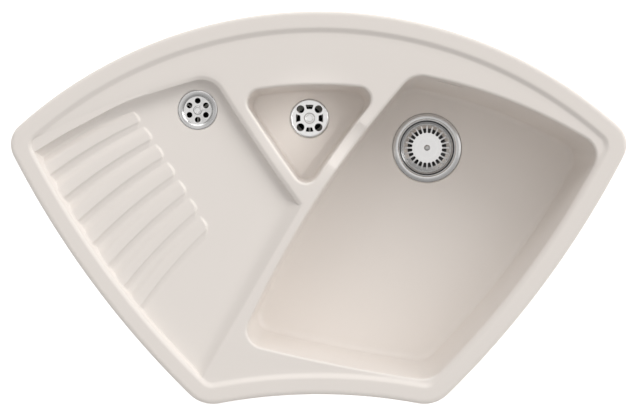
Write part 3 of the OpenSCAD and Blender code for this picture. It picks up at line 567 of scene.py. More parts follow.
def joined(target, tool, operation):
    """Applies a boolean with a tool and removes the tool."""
    modifier = target.modifiers.new(operation, "BOOLEAN")
    modifier.operation = operation
    modifier.solver = "MANIFOLD"
    modifier.object = tool
    baked(target)
    discard(tool)
    return target


FILL_PITCH = 9.0
FILL_ROWS = 0.866 * FILL_PITCH


def fill_points(ring):
    """A grid of staggered points over a ring's box."""
    rows = np.arange(ring.imag.min(), ring.imag.max(), FILL_ROWS)
    columns = np.arange(ring.real.min(), ring.real.max(), FILL_PITCH)
    return np.concatenate([columns + FILL_PITCH / 2 * (k % 2) + 1j * y for k, y in enumerate(rows)])


class Sheet:
    """Points and lines in plan, to be joined by triangles."""

    def __init__(self):
        self.points = []
        self.edges = []

    def line(self, points, keep=None, closed=True):
        """Adds the kept points, or all of them, and an edge between each kept pair of neighbours."""
        n = len(points)
        index = {}
        for k in range(n):
            if keep is None or keep[k]:
                index[k] = len(self.points)
                self.points.append((points[k].real, points[k].imag))
        for k in range(n if closed else n - 1):
            if k in index and (k + 1) % n in index:
                self.edges.append((index[k], index[(k + 1) % n]))

    def loose(self, points):
        self.points += [(p.real, p.imag) for p in points]

    def triangles(self, keep):
        """The plan points, and the triangles whose middles are kept."""
        verts, _, faces, *_ = delaunay_2d_cdt([Vector(p) for p in self.points], self.edges, [], 0, 1e-4)
        plan = np.array([complex(v[0], v[1]) for v in verts])
        corners = np.array([f[:3] for f in faces])
        kept = keep(plan[corners].mean(axis=1))
        return plan, corners[kept]


# Insets of the sheet's lines: from the rim, the slope, the bowls' mouths and the drainer's mouth
SHEET_EDGE = -12.0
RIM_LINES = [4.5, 9, 16.5, 22.5]
SLOPE_LINES = [24.5, 25.7, 26.8, 27.8, 28.7, 29.6, 30.4, 31.2, 32.1, 33, 34, 35.1, 36.4]
MOUTH_LINES = [0, 0.15, 0.5, 1.0, 1.7, 2.6, 3.7, 4.8, 6.2]
DRAIN_LINES = [-6.2, -5.3, -4.5, -3.7, -2.9, -2.2, -1.5, -0.8, -0.1, 0.6, 1.4, 2.3, 3.2, 4.1, 4.9, 5.6, 6.4,
               7.3, 8.5, 10, 12, 14.5, 17.5]
# Distances that keep other lines clear of a mouth's lines
MOUTH_CLEAR = 7.5
DRAIN_CLEAR = 7.0
# Distances of the loose points from the sheet's edge, the mouths, the slope and the drainer's walls
LOOSE_FROM_EDGE = 4
LOOSE_FROM_MOUTH = 9
LOOSE_FROM_SLOPE = 8
LOOSE_FROM_WALL = [-8, 20]
# Runs of the rib lines: where they start, and their pitches before the nose and on it
RIB_LINES_FROM = -30
RIB_PITCH = 3.5
NOSE_PITCH = 0.9


def rib_lines():
    """Lines along the board's creases: a place for each run."""
    for number in range(-1, RIB_COUNT):
        for part in (-0.1, 0, 0.12, 0.25, 0.38, 0.5, 0.62, 0.75, 0.88, 1, 1.12):
            yield lambda run, part=part, number=number: number + part * side_share(run)
        for part in (-0.8, -0.68, -0.56, -0.5, -0.46, -0.42, -0.38, -0.3, -0.15):
            yield lambda run, part=part, number=number: number + part


def top_sheet():
    """The plan of the top surface: lines along every edge, loose points between them."""
    sheet = Sheet()

    def clear(points, margin):
        """Points clear of the two bowls' mouths."""
        return (depth_inside(points, main_mouth) < -margin) & (depth_inside(points, small_mouth) < -margin)

    outer = rim.ring(SHEET_EDGE)
    sheet.line(outer)
    for inset in RIM_LINES:
        ring = rim.ring(inset)
        sheet.line(ring, clear(ring, MOUTH_CLEAR))
    for inset in SLOPE_LINES:
        ring = ledge.ring(inset)
        sheet.line(ring, clear(ring, MOUTH_CLEAR) & (depth_inside(ring, drain_mouth) < -DRAIN_CLEAR))
    for mouth in (main, small):
        for outset in MOUTH_LINES:
            sheet.line(mouth.ring(-outset))
    for inset in DRAIN_LINES:
        sheet.line(drain.ring(inset))
    nose_from = RIB_L - RIB_NOSE - RIB_NOSE_BACK
    runs = np.concatenate([np.arange(RIB_LINES_FROM, nose_from, RIB_PITCH),
                           np.arange(nose_from, RIB_L + 2, NOSE_PITCH)])
    for place in rib_lines():
        points = board_point(place(runs), runs)
        sheet.line(points, depth_inside(points, drain_mouth) > 3.0, closed=False)
    fill = fill_points(outer)
    in_drain = depth_inside(fill, drain_mouth)
    place, run = board_place(fill)
    along = (run > RIB_LINES_FROM) & (run < RIB_L + 4)
    on_board = (place > -1.1) & (place < RIB_COUNT - 0.6) & along & (in_drain > 0)
    off_slope = np.abs(depth_inside(fill, slope_ring)) > LOOSE_FROM_SLOPE
    off_wall = (in_drain < LOOSE_FROM_WALL[0]) | (in_drain > LOOSE_FROM_WALL[1])
    off_edge = depth_inside(fill, outer) > LOOSE_FROM_EDGE
    sheet.loose(fill[off_edge & clear(fill, LOOSE_FROM_MOUTH) & ~on_board & off_slope & off_wall])
    return sheet.triangles(lambda p: (depth_inside(p, outer) > 0) & clear(p, 0))


# Rings down a bowl's walls and steps round its foot, inside it and outside
INSIDE_STEPS = [8, 8]
OUTSIDE_STEPS = [2, 6]


def rounding(radius, steps, last=90.0):
    """Insets and rises along a rounded edge, from its upright end to its flat one."""
    for k in range(steps + 1):
        angle = math.radians(last * k / steps)
        yield radius * (1 - math.cos(angle)), radius * (1 - math.sin(angle))


def bowl_rings(outline, lean, outset, top, floor, foot_r, walls, steps):
    """Rings down a bowl's walls and round its foot, a distance outside its outline."""
    def follow(inset, share):
        return outline.ring(inset - outset, [share * v for v in lean], FOLLOW)

    foot = floor(follow(0, 1)) + foot_r
    rings = [(follow(0, k / walls), top + k / walls * (foot - top)) for k in range(walls)]
    for inset, rise in rounding(foot_r, steps):
        plan = follow(inset, 1)
        rings.append((plan, floor(plan) + rise))
    return rings


def bowl_inside(skin, outline, lean, floor, foot_r):
    """Walls, foot radius and floor of a bowl."""
    rings = bowl_rings(outline, lean, 0, top_height(outline.ring()), floor, foot_r, *INSIDE_STEPS)
    skin.bands(rings)
    edge = rings[-1][0]
    sheet = Sheet()
    sheet.line(edge)
    sheet.line(outline.ring(foot_r + 2, lean, FOLLOW))
    fill = fill_points(edge)
    sheet.loose(fill[depth_inside(fill, edge) > 5])
    skin.cover(*sheet.triangles(lambda p: depth_inside(p, edge) > 0), floor)


# A level under the whole sink
BELOW = -360.0


def top_solid():
    """Everything below the top surface."""
    skin = Skin()
    skin.cover(*top_sheet(), top_height)
    bowl_inside(skin, main, MAIN_LEAN, main_floor, MAIN_FOOT_R)
    bowl_inside(skin, small, SMALL_LEAN, small_floor, SMALL_FOOT_R)
    outer = rim.ring(SHEET_EDGE)
    _, lower = skin.bands([(outer, top_height(outer)), (outer, BELOW)])
    skin.fan(lower, (0, -250, BELOW))
    return skin.build("top")


# Insets and rises of the rim slab's part that stands above the top surface, which cuts it off
RIM_LID = [(12, 3.0), (80, 30)]
RIM_EDGE_TURN = 84.0


def rim_solid():
    """The slab with the rim's rounded outer edge."""
    rings = [(rim.ring(inset), RIM_TOP - fall) for inset, fall in rounding(RIM_EDGE_R, 9, RIM_EDGE_TURN)]
    rings += [(rim.ring(inset), RIM_TOP + rise) for inset, rise in RIM_LID]
    lower = [(rim.ring(inset), rise) for inset, rise in rounding(RIM_FOOT_R, 4)]
    return loft("sink_body", rings[::-1] + lower)


PLATE_EDGE_R = 2.5
DRAIN_UNDER_R = 8.0


def plate_solid():
    rings = [(ledge.ring(SEAT_W), UNDER_TOP)]
    for inset, rise in rounding(PLATE_EDGE_R, 5):
        rings.append((ledge.ring(SEAT_W + inset), LEDGE - FLOOR_T + rise))
    return loft("plate", rings)


def shell_solid(name, outline, lean, floor, foot_r):
    """The outside of a bowl."""
    return loft(name, bowl_rings(outline, lean, WALL, UNDER_TOP, lambda points: floor(points) - FLOOR_T,
                                 foot_r + WALL, *OUTSIDE_STEPS))


def drain_solid():
    rings = [(drain.ring(0, None, FOLLOW), UNDER_TOP)]
    for inset, rise in rounding(DRAIN_UNDER_R, 6):
        plan = drain.ring(inset, None, FOLLOW)
        rings.append((plan, drain_floor(plan) - FLOOR_T + rise))
    return loft("drain_shell", rings)


# The overflow: a slot in the main bowl's back wall, a channel behind it and a bore below
overflow_mid, overflow_out = arc_place(main_sides[2], MAIN_CORNERS[3], -OVERFLOW_ALONG)
OVERFLOW_Z = LEDGE - OVERFLOW_DROP
CHANNEL_TOP = OVERFLOW_Z + OVERFLOW_H / 2 + CHANNEL_ROOF
CHANNEL_BOTTOM = CHANNEL_TOP - CHANNEL_H
CHANNEL_W = OVERFLOW_W + 2 * CHANNEL_SIDE


def rounded_box_ring(low, high, radius):
    """A rounded rectangle in plan, anticlockwise, in the overflow's frame."""
    corners = [(high.real - radius, high.imag - radius, 0), (low.real + radius, high.imag - radius, 90),
               (low.real + radius, low.imag + radius, 180), (high.real - radius, low.imag + radius, 270)]
    points = [complex(x, y) + radius * heading(turn + 15 * k) for x, y, turn in corners for k in range(7)]
    return overflow_mid + overflow_out * np.array(points)


OVERFLOW_BOX_R = 10.0
OVERFLOW_BOX_EDGE_R = 6.0


def overflow_box():
    low = complex(0, -CHANNEL_W / 2 - WALL)
    high = complex(CHANNEL_FROM + CHANNEL_T + WALL, CHANNEL_W / 2 + WALL)
    rings = [(rounded_box_ring(low, high, OVERFLOW_BOX_R), UNDER_TOP)]
    for inset, rise in rounding(OVERFLOW_BOX_EDGE_R, 5):
        step = inset * (1 + 1j)
        rings.append((rounded_box_ring(low + step, high - step, OVERFLOW_BOX_R - inset * FOLLOW),
                      CHANNEL_BOTTOM - WALL + rise))
    return loft("overflow_box", rings)


def channel_cutter():
    low = complex(CHANNEL_FROM, -CHANNEL_W / 2)
    high = complex(CHANNEL_FROM + CHANNEL_T, CHANNEL_W / 2)
    return prism("channel", rounded_box_ring(low, high, CHANNEL_CORNER_R), CHANNEL_BOTTOM, CHANNEL_TOP)


def circle(centre, radius, steps=96):
    return centre + radius * heading(360 * np.arange(steps) / steps)


# The slot's sections: the distance out from the bowl's wall and how much wider the slot is there
SLOT_SECTIONS = [(-30, 2.8), (-3.2, 2.8), (-2.2, 1.4), (-1.2, 0.6), (0.2, 0.15), (2, 0), (14, 0)]


def slot_cutter():
    """The overflow's slot, flared towards the bowl. Its sections stand across the wall."""
    turn = 2 * np.pi * np.arange(48) / 48
    half = (OVERFLOW_W - OVERFLOW_H) / 2
    rings = []
    for away, flare in SLOT_SECTIONS:
        radius = OVERFLOW_H / 2 + flare
        side = np.where(np.cos(turn) >= 0, half, -half) + radius * np.cos(turn)
        rings.append((overflow_mid + overflow_out * (away + 1j * side), OVERFLOW_Z + radius * np.sin(turn)))
    return loft("overflow_slot", rings)


# Turned pieces
def rounded_profile(corners, steps=4):
    """A closed profile of (radius, height, fillet) corners, with an arc at each fillet."""
    points = []
    n = len(corners)
    for k, (r, z, fillet) in enumerate(corners):
        here = complex(r, z)
        if fillet == 0:
            points.append(here)
            continue
        before = complex(*corners[k - 1][:2]) - here
        after = complex(*corners[(k + 1) % n][:2]) - here
        half = abs(np.angle(after / before)) / 2
        reach = min(fillet / math.tan(half), 0.49 * abs(before), 0.49 * abs(after))
        start = here + before / abs(before) * reach
        end = here + after / abs(after) * reach
        for j in range(steps + 1):
            t = j / steps
            points.append((1 - t) ** 2 * start + 2 * t * (1 - t) * here + t ** 2 * end)
    return [(p.real, p.imag) for p in points]


def turned(name, centre, level, profile, steps=128):
    """A closed profile of (radius, height) spun about a waste's axis."""
    work = bmesh.new()
    rings = []
    for k in range(steps):
        turn = 2 * math.pi * k / steps
        rings.append([work.verts.new(((centre.real + r * math.cos(turn)) * MM,
                                      (centre.imag + r * math.sin(turn)) * MM, (level + z) * MM))
                      for r, z in profile])
    n = len(profile)
    for k in range(steps):
        here, after = rings[k], rings[(k + 1) % steps]
        for j in range(n):
            if profile[j][0] > 0 or profile[(j + 1) % n][0] > 0:
                work.faces.new((here[j], here[(j + 1) % n], after[(j + 1) % n], after[j]))
    return finished(name, work, bpy.data.meshes.new(name), TURNED_MERGE)


BASKET_FLANGE_R = 57.0
THROAT_R = 45.0
FLANGE_FALL = 4.0
SHEET_T = 1.2
SEAL_T = 1.5
SET_GAP = 0.5
BASKET_BORE_R = THROAT_R + SHEET_T + SET_GAP
SIEVE_R = 31.5
SMALL_HOLE_R = 28.5
DISH_R = 23.0
DISH_HOLE_R = DISH_R + SHEET_T + SET_GAP
BOSS_EXTRA = 15.0
SIEVE_BOSS = 16.5
BASKET_BOSS = 20.7
SIEVE_SEAT = 4.2
TAP_HOLE_R = 17.5
TAP_SKIN = 5.0
SHARP_FROM = 35
# How far the bosses' bores reach past them
BORE_PAST = 4


def boss(centre, floor_level, bore_r, drop):
    """A boss under the casting, with a rounded lower edge."""
    radius = bore_r + BOSS_EXTRA
    top = -FLOOR_T / 2
    profile = rounded_profile([(0, top, 0), (radius, top, 0), (radius, -drop, 3), (0, -drop, 0)])
    return turned("boss", centre, floor_level, profile)


def basket_seat():
    """The cut for the basket waste, with a small round lip where it meets the floor."""
    slope = FLANGE_FALL / (BASKET_FLANGE_R - THROAT_R)
    high = -FLANGE_SINK - SHEET_T - SEAL_T
    low = high - slope * (BASKET_FLANGE_R - BASKET_BORE_R)
    edge = BASKET_FLANGE_R + SET_GAP
    end = -BASKET_BOSS - BORE_PAST
    profile = [(0, 8), (edge + 4, 8), (edge + 1.6, 0.9), (edge + 0.9, 0.25), (edge + 0.3, -0.35),
               (edge, -1.2), (edge, high), (BASKET_BORE_R, low), (BASKET_BORE_R, end), (0, end)]
    return turned("basket_seat", BASKET_AT, MAIN_FLOOR, profile)


def sieve_seat(name, centre, level, hole_r):
    edge = SIEVE_R + SET_GAP
    end = -SIEVE_BOSS - BORE_PAST
    profile = [(0, 5), (edge + 3.5, 5), (edge + 1.2, 0.9), (edge + 0.7, 0.25), (edge + 0.2, -0.3), (edge, -1),
               (edge, -SIEVE_SEAT), (hole_r, -SIEVE_SEAT), (hole_r, end), (0, end)]
    return turned(name, centre, level, profile)


def sink_body():
    """The whole casting."""
    body = rim_solid()
    channel_mid = overflow_mid + overflow_out * (CHANNEL_FROM + CHANNEL_T / 2)
    steps = {
        "UNION": [
            plate_solid(),
            shell_solid("main_shell", main, MAIN_LEAN, main_floor, MAIN_SHELL_R),
            shell_solid("small_shell", small, SMALL_LEAN, small_floor, SMALL_SHELL_R),
            drain_solid(),
            overflow_box(),
            boss(BASKET_AT, MAIN_FLOOR, BASKET_BORE_R, BASKET_BOSS),
            boss(SMALL_AT, SMALL_FLOOR, SMALL_HOLE_R, SIEVE_BOSS),
            boss(DRAIN_AT, DRAIN_FLOOR, DISH_HOLE_R, SIEVE_BOSS)],
        "INTERSECT": [top_solid()],
        "DIFFERENCE": [
            channel_cutter(),
            slot_cutter(),
            prism("channel_bore", circle(channel_mid, CHANNEL_BORE_R),
                  CHANNEL_BOTTOM - WALL - 2, CHANNEL_BOTTOM + 1),
            prism("tap_hole", circle(0j, TAP_HOLE_R), LEDGE - FLOOR_T - 2, LEDGE - TAP_SKIN),
            basket_seat(),
            sieve_seat("small_seat", SMALL_AT, SMALL_FLOOR, SMALL_HOLE_R),
            sieve_seat("drain_seat", DRAIN_AT, DRAIN_FLOOR, DISH_HOLE_R)]}
    for operation, solids in steps.items():
        for solid in solids:
            joined(body, solid, operation)
    return body


def smooth(piece):
    """Smooth faces with sharp edges past an angle."""
    piece.data.shade_smooth()
    piece.data.set_sharp_from_angle(angle=math.radians(SHARP_FROM))
    return piece


# Node trees
def add(tree, kind, inputs, **settings):
    """Adds a node. Each input is a value or another node's output."""
    node = tree.nodes.new(kind)
    for name, value in settings.items():
        setattr(node, name, value)
    for key, value in inputs.items():
        if isinstance(value, bpy.types.NodeSocket):
            tree.links.new(value, node.inputs[key])
        else:
            node.inputs[key].default_value = value
    return node


def made(tree, kind, inputs, output=0, **settings):
    """One output of a new node."""
    return add(tree, kind, inputs, **settings).outputs[output]


def maths(tree, operation, *values):
    return made(tree, "ShaderNodeMath", dict(enumerate(values)), operation=operation)


def noise(tree, vector, scale, detail, roughness=0.5):
    inputs = {"Vector": vector, "Scale": scale, "Detail": detail, "Roughness": roughness}
    return made(tree, "ShaderNodeTexNoise", inputs, "Fac")


def mapped(tree, value, low, high, to_low, to_high, **settings):
    """A value whose range from low to high is turned into another range."""
    inputs = {"Value": value, "From Min": low, "From Max": high, "To Min": to_low, "To Max": to_high}
    return made(tree, "ShaderNodeMapRange", inputs, "Result", **settings)


def new_group(kind, name, inputs, outputs):
    """A node group and what is given to it. Each input is a name, a kind of socket and a value."""
    group = bpy.data.node_groups.new(name, kind)
    for label, socket, value in inputs:
        made_socket = group.interface.new_socket(label, in_out="INPUT", socket_type="NodeSocket" + socket)
        if value is not None:
            made_socket.default_value = value
    for label, socket in outputs:
        group.interface.new_socket(label, in_out="OUTPUT", socket_type="NodeSocket" + socket)
    return group, group.nodes.new("NodeGroupInput").outputs


def give_out(group, *results):
    out = group.nodes.new("NodeGroupOutput")
    for k, result in enumerate(results):
        group.links.new(result, out.inputs[k])
    return group


def set_modifier(piece, group, values):
    """Adds a Geometry Nodes modifier and sets its inputs by their identifiers."""
    modifier = piece.modifiers.new(group.name, "NODES")
    modifier.node_group = group
    names = {item.name: item.identifier for item in group.interface.items_tree if item.in_out == "INPUT"}
    for name, value in values.items():
        modifier[names[name]] = value


def openings_tree():
    """Cuts a ring of equal openings into a piece."""
    group, given = new_group("GeometryNodeTree", "ring_of_openings", [
        ("Geometry", "Geometry", None), ("Opening", "Object", None), ("Count", "Int", 6),
        ("Distance", "Float", 0.01), ("First Angle", "Float", 0.0), ("Centre", "Vector", None),
        ("Material", "Material", None)], [("Geometry", "Geometry")])
    ring = made(group, "GeometryNodeMeshCircle", {"Vertices": given["Count"], "Radius": given["Distance"]})
    turn = made(group, "ShaderNodeCombineXYZ", {"Z": given["First Angle"]})
    turned_ring = made(group, "GeometryNodeTransform", {"Geometry": ring, "Rotation": turn})
    place = made(group, "GeometryNodeInputPosition", {})
    facing = made(group, "FunctionNodeAlignRotationToVector", {"Vector": place}, axis="X")
    opening = made(group, "GeometryNodeObjectInfo", {"Object": given["Opening"]}, "Geometry")
    copies = made(group, "GeometryNodeInstanceOnPoints",
                  {"Points": turned_ring, "Instance": opening, "Rotation": facing})
    real = made(group, "GeometryNodeRealizeInstances", {"Geometry": copies})
    moved = made(group, "GeometryNodeTransform", {"Geometry": real, "Translation": given["Centre"]})
    cut = made(group, "GeometryNodeMeshBoolean", {"Mesh 1": given["Geometry"], "Mesh 2": moved},
               operation="DIFFERENCE", solver="MANIFOLD")
    plain = made(group, "GeometryNodeRealizeInstances", {"Geometry": cut})
    return give_out(group, made(group, "GeometryNodeSetMaterial",
                                {"Geometry": plain, "Material": given["Material"]}))


OPENINGS = openings_tree()


def cut_ring(piece, opening, count, distance, first, centre, material):
    """Cuts equal openings round a waste's axis, the first at an angle, and removes their pattern."""
    set_modifier(piece, OPENINGS, {
        "Opening": opening, "Count": count, "Distance": distance * MM, "First Angle": math.radians(first),
        "Centre": (centre.real * MM, centre.imag * MM, 0.0), "Material": material})
    baked(piece)
    discard(opening)
    return piece


# Shared effects
def drift_group():
    """Two colours that drift into each other over the surface."""
    group, given = new_group("ShaderNodeTree", "colour_drift", [
        ("Vector", "Vector", None), ("Scale", "Float", 6.0), ("One", "Color", None),
        ("Other", "Color", None)], [("Colour", "Color")])
    share = noise(group, given["Vector"], given["Scale"], 3.0, 0.55)
    return give_out(group, made(group, "ShaderNodeMix", {0: share, 6: given["One"], 7: given["Other"]}, 2,
                                data_type="RGBA"))


def surface_group(name):
    """A group for a surface effect, and what is given to it."""
    return new_group("ShaderNodeTree", name, [
        ("Vector", "Vector", None), ("Scale", "Float", 900.0), ("Smooth", "Float", 0.1),
        ("Rough", "Float", 0.2)], [("Height", "Float"), ("Roughness", "Float")])


def grain_group():
    """A fine uneven surface, whose roughness varies slowly."""
    group, given = surface_group("fine_grain")
    height = noise(group, given["Vector"], given["Scale"], 2.0)
    patches = noise(group, given["Vector"], maths(group, "MULTIPLY", given["Scale"], 0.06), 3.0)
    return give_out(group, height, mapped(group, patches, 0.35, 0.65, given["Smooth"], given["Rough"]))


def turned_group():
    """Marks of turning or polishing in rings about the piece's axis."""
    group, given = surface_group("turned_marks")
    parts = add(group, "ShaderNodeSeparateXYZ", {0: given["Vector"]}).outputs
    flat = made(group, "ShaderNodeCombineXYZ", {"X": parts["X"], "Y": parts["Y"]})
    radius = made(group, "ShaderNodeVectorMath", {0: flat}, "Value", operation="LENGTH")
    rings = made(group, "ShaderNodeCombineXYZ", {"X": radius, "Y": parts["Z"]})
    marks = noise(group, rings, given["Scale"], 3.0)
    return give_out(group, marks, mapped(group, marks, 0.3, 0.7, given["Smooth"], given["Rough"]))


DRIFT = drift_group()
GRAIN = grain_group()
TURNED = turned_group()


# Materials
def material(name, effect, one, other, values, drift_scale=8.0, centre=0j, bump=0.1, depth=0.0002,
             **settings):
    """A finish from a colour drift and one surface effect. The settings are the shader's plain values."""
    finish = bpy.data.materials.new(name)
    finish.use_nodes = True
    tree = finish.node_tree
    shader = tree.nodes["Principled BSDF"].inputs
    where = made(tree, "ShaderNodeTexCoord", {}, "Object")
    away = (-centre.real * MM, -centre.imag * MM, 0.0)
    placed = made(tree, "ShaderNodeMapping", {"Vector": where, "Location": away})
    colour = add(tree, "ShaderNodeGroup", {}, node_tree=DRIFT)
    surface = add(tree, "ShaderNodeGroup", {}, node_tree=effect)
    for group in (colour, surface):
        tree.links.new(placed, group.inputs["Vector"])
    for key, value in (("Scale", drift_scale), ("One", (*one, 1.0)), ("Other", (*other, 1.0))):
        colour.inputs[key].default_value = value
    for key, value in zip(("Scale", "Smooth", "Rough"), values):
        surface.inputs[key].default_value = value
    height = surface.outputs["Height"]
    relief = made(tree, "ShaderNodeBump", {"Strength": bump, "Distance": depth, "Height": height})
    tree.links.new(colour.outputs["Colour"], shader["Base Color"])
    tree.links.new(surface.outputs["Roughness"], shader["Roughness"])
    tree.links.new(relief, shader["Normal"])
    for key, value in settings.items():
        shader[key.replace("_", " ").title().replace("Ior", "IOR")].default_value = value
    return finish


def metal(name, centre, one, other, values, bump):
    return material(name, TURNED, one, other, values, centre=centre, bump=bump, depth=0.0001, metallic=1.0)


def polished_steel(name, centre):
    return metal(name, centre, (0.74, 0.745, 0.75), (0.68, 0.685, 0.69), (1400.0, 0.12, 0.24), 0.06)


def brass_finish(name, centre):
    return metal(name, centre, (0.78, 0.56, 0.24), (0.70, 0.49, 0.20), (1000.0, 0.18, 0.34), 0.2)


GLAZE = material("glazed_ceramic", GRAIN, (0.885, 0.842, 0.805), (0.87, 0.828, 0.79), (450.0, 0.29, 0.34),
                 drift_scale=5.0, bump=0.04, depth=0.0001, specular_ior_level=0.35)
RUBBER = material("black_rubber", GRAIN, (0.018, 0.018, 0.018), (0.028, 0.027, 0.026), (700.0, 0.50, 0.68),
                  bump=0.3, depth=0.0003)
PLASTIC = material("white_plastic", GRAIN, (0.80, 0.80, 0.77), (0.76, 0.755, 0.72), (900.0, 0.30, 0.42),
                   drift_scale=14.0, bump=0.2)
BASKET_STEEL = polished_steel("basket_steel", BASKET_AT)
SMALL_STEEL = polished_steel("small_sieve_steel", SMALL_AT)
DRAIN_STEEL = polished_steel("drainer_sieve_steel", DRAIN_AT)
STEM_STEEL = metal("stem_steel", BASKET_AT, (0.60, 0.605, 0.61), (0.52, 0.525, 0.53),
                   (1100.0, 0.22, 0.42), 0.25)
# Painted shade: a near-black steel for the cup's inside, which lies in the dim space under the strainer; only
# its rougher finish is the steel's own
CUP_SHADE_STEEL = metal("cup_steel", BASKET_AT, (0.22, 0.222, 0.225), (0.17, 0.172, 0.175),
                  (1100.0, 0.35, 0.5), 0.25)


def dress(node, finish):
    """Gives a carried-over node a better material."""
    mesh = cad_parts[node].data
    mesh.materials.clear()
    mesh.materials.append(finish)


def place(piece, body, slot, finish, node):
    """Puts a new piece on its body, in the place of its node."""
    piece.data.materials.clear()
    piece.data.materials.append(finish)
    for face in piece.data.polygons:
        face.material_index = 0
    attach(piece, body)
    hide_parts(node)
    return piece


# Basket waste
def flange_cup():
    """The pressed flange, crowned and falling to its edge and to the throat, and the stepped cup."""
    profile = rounded_profile([
        (57.0, -3.3, 0.2), (56.9, -2.6, 0.5), (55.6, -2.2, 0.8), (52.5, -1.5, 3.0), (48.6, -1.0, 2.2),
        (46.4, -2.4, 1.2), (45.2, -5.2, 1.0), (44.7, -17.0, 1.2), (38.1, -18.4, 1.2), (38.0, -50.5, 3.0),
        (4.3, -50.5, 0.2), (4.3, -51.7, 0.2), (39.2, -51.7, 4.0), (39.2, -19.7, 1.0), (45.9, -18.2, 2.0),
        (46.4, -5.5, 1.0), (47.4, -3.6, 1.0), (49.0, -2.3, 1.0), (56.4, -3.5, 0.3)])
    piece = turned("flange_cup", BASKET_AT, MAIN_FLOOR, profile, steps=160)
    floor = MAIN_FLOOR - 51.7
    hole = prism("hole", circle(0j, 8.4, 40), floor - 1, floor + 3)
    return cut_ring(piece, hole, 6, 22.8, 0.0, BASKET_AT, BASKET_STEEL)


# The part of the cup given a dark steel, painted shade for the dim space under the strainer: below this
# height from the floor and within this radius
SHADE_BELOW = -14
SHADE_R = 45.6


def paint_cup_shade(piece):
    """Gives the cup's inside, below the strainer, a darker and duller steel than the flange: painted shade
    for the little light that gets in.
    """
    piece.data.materials.append(CUP_SHADE_STEEL)
    for face in piece.data.polygons:
        off_axis = complex(face.center.x, face.center.y) / MM - BASKET_AT
        if face.center.z / MM < MAIN_FLOOR + SHADE_BELOW and abs(off_axis) < SHADE_R:
            face.material_index = 1


SLOT_COUNT = 24
SLOT_FROM = 24.6
SLOT_TO = 32.2
GROOVE_TO = 39.0
BAR_W = 2.5
BAR_END_W = 1.5
GROOVE_LAP = 0.5
GROOVE_TOP = -6.2
GROOVE_FALL = 0.48


def between_bars(start, end, end_bar, corner_r):
    """The outline of the gap between two neighbouring bars, about the middle of its run, and that middle."""
    near = math.pi * start / SLOT_COUNT - BAR_W / 2
    far = math.pi * end / SLOT_COUNT - end_bar / 2
    middle_r = (start + end) / 2
    corners = [complex(start, -near), complex(end, -far), complex(end, far), complex(start, near)]
    return np.array(rounded_outline([c - middle_r for c in corners], corner_r)), middle_r


def strainer():
    """The basket: a flat top with slots and grooves between bars, a falling stepped rim and a skirt."""
    profile = rounded_profile([
        (0.0, -4.2, 0), (25.6, -4.2, 4.0), (37.4, -5.4, 0.8), (38.4, -8.4, 0.6), (40.6, -9.4, 0.2),
        (41.0, -10.9, 0.2), (43.4, -12.0, 0.2), (43.4, -12.15, 0.1), (37.2, -12.15, 0.1), (37.2, -34.2, 0.3),
        (36.2, -34.2, 0.3), (36.2, -11.4, 0.4), (32.6, -9.6, 0.6), (24.0, -5.6, 0.6), (0.0, -5.3, 0)])
    piece = turned("strainer", BASKET_AT, MAIN_FLOOR, profile, steps=192)
    between = 180.0 / SLOT_COUNT
    ring, middle_r = between_bars(SLOT_FROM, SLOT_TO, BAR_W, 1.1)
    slot = prism("slot", ring, MAIN_FLOOR - 20, MAIN_FLOOR - 1)
    cut_ring(piece, slot, SLOT_COUNT, middle_r, between, BASKET_AT, BASKET_STEEL)
    ring, middle_r = between_bars(SLOT_TO - GROOVE_LAP, GROOVE_TO, BAR_END_W, 0.8)
    low = MAIN_FLOOR + GROOVE_TOP - GROOVE_FALL * (ring.real + middle_r - SLOT_TO)
    groove = loft("groove", [(ring, MAIN_FLOOR - 2.0), (ring, low)])
    return cut_ring(piece, groove, SLOT_COUNT, middle_r, between, BASKET_AT, BASKET_STEEL)


def pin_head():
    profile = rounded_profile([
        (0.0, -2.6, 0), (2.4, -2.8, 2.0), (4.7, -3.6, 0.5), (5.0, -4.2, 0), (2.0, -4.2, 0), (2.0, -8.2, 0),
        (0.0, -8.2, 0)])
    return turned("pin_head", BASKET_AT, MAIN_FLOOR, profile, steps=64)


# Sieve wastes
def small_sieve_plate():
    """A flat sieve with a rolled edge, four round openings and four flared ones."""
    profile = rounded_profile([
        (0.0, -1.0, 0), (28.4, -1.0, 0.5), (29.4, -0.9, 0.5), (31.5, -1.3, 0.6), (31.5, -2.2, 0.2),
        (28.2, -2.2, 0.2), (28.2, -9.0, 0.2), (27.0, -9.0, 0.2), (27.0, -2.2, 0.2), (0.0, -2.2, 0)])
    piece = turned("small_sieve_plate", SMALL_AT, SMALL_FLOOR, profile, steps=128)
    corners = [14.9 - 4.3j, 22.0 - 6.6j, 22.0 + 6.6j, 14.9 + 4.3j]
    for outline, distance, first in (
            (circle(0j, 6.4, 40), 20.8, 45.0),
            (rounded_outline([c - 18.4 for c in corners], 0.9), 18.4, 0.0),
            (circle(0j, 1.65, 24), 1.65, 0.0)):
        bore = prism("bore", outline, SMALL_FLOOR - 3.4, SMALL_FLOOR + 1)
        cut_ring(piece, bore, 4, distance, first, SMALL_AT, SMALL_STEEL)
    return piece


def rounded_outline(corners, radius):
    """A closed outline with rounded corners."""
    points = rounded_profile([(c.real, c.imag, radius) for c in corners], 5)
    return [complex(x, y) for x, y in points]


def drainer_sieve_plate():
    """A sieve with a dished middle and six round openings."""
    profile = rounded_profile([
        (31.5, -1.5, 0.4), (30.0, -1.0, 1.2), (25.4, -1.6, 1.6), (23.0, -2.6, 1.4), (22.8, -6.0, 0.9),
        (3.3, -6.0, 0.1), (3.3, -7.2, 0.1), (24.0, -7.2, 1.4), (24.2, -2.9, 0.8), (31.5, -2.7, 0.2)])
    piece = turned("drainer_sieve_plate", DRAIN_AT, DRAIN_FLOOR, profile, steps=128)
    bore = prism("bore", circle(0j, 4.7, 36), DRAIN_FLOOR - 8.4, DRAIN_FLOOR - 5)
    return cut_ring(piece, bore, 6, 15.2, 30.0, DRAIN_AT, DRAIN_STEEL)


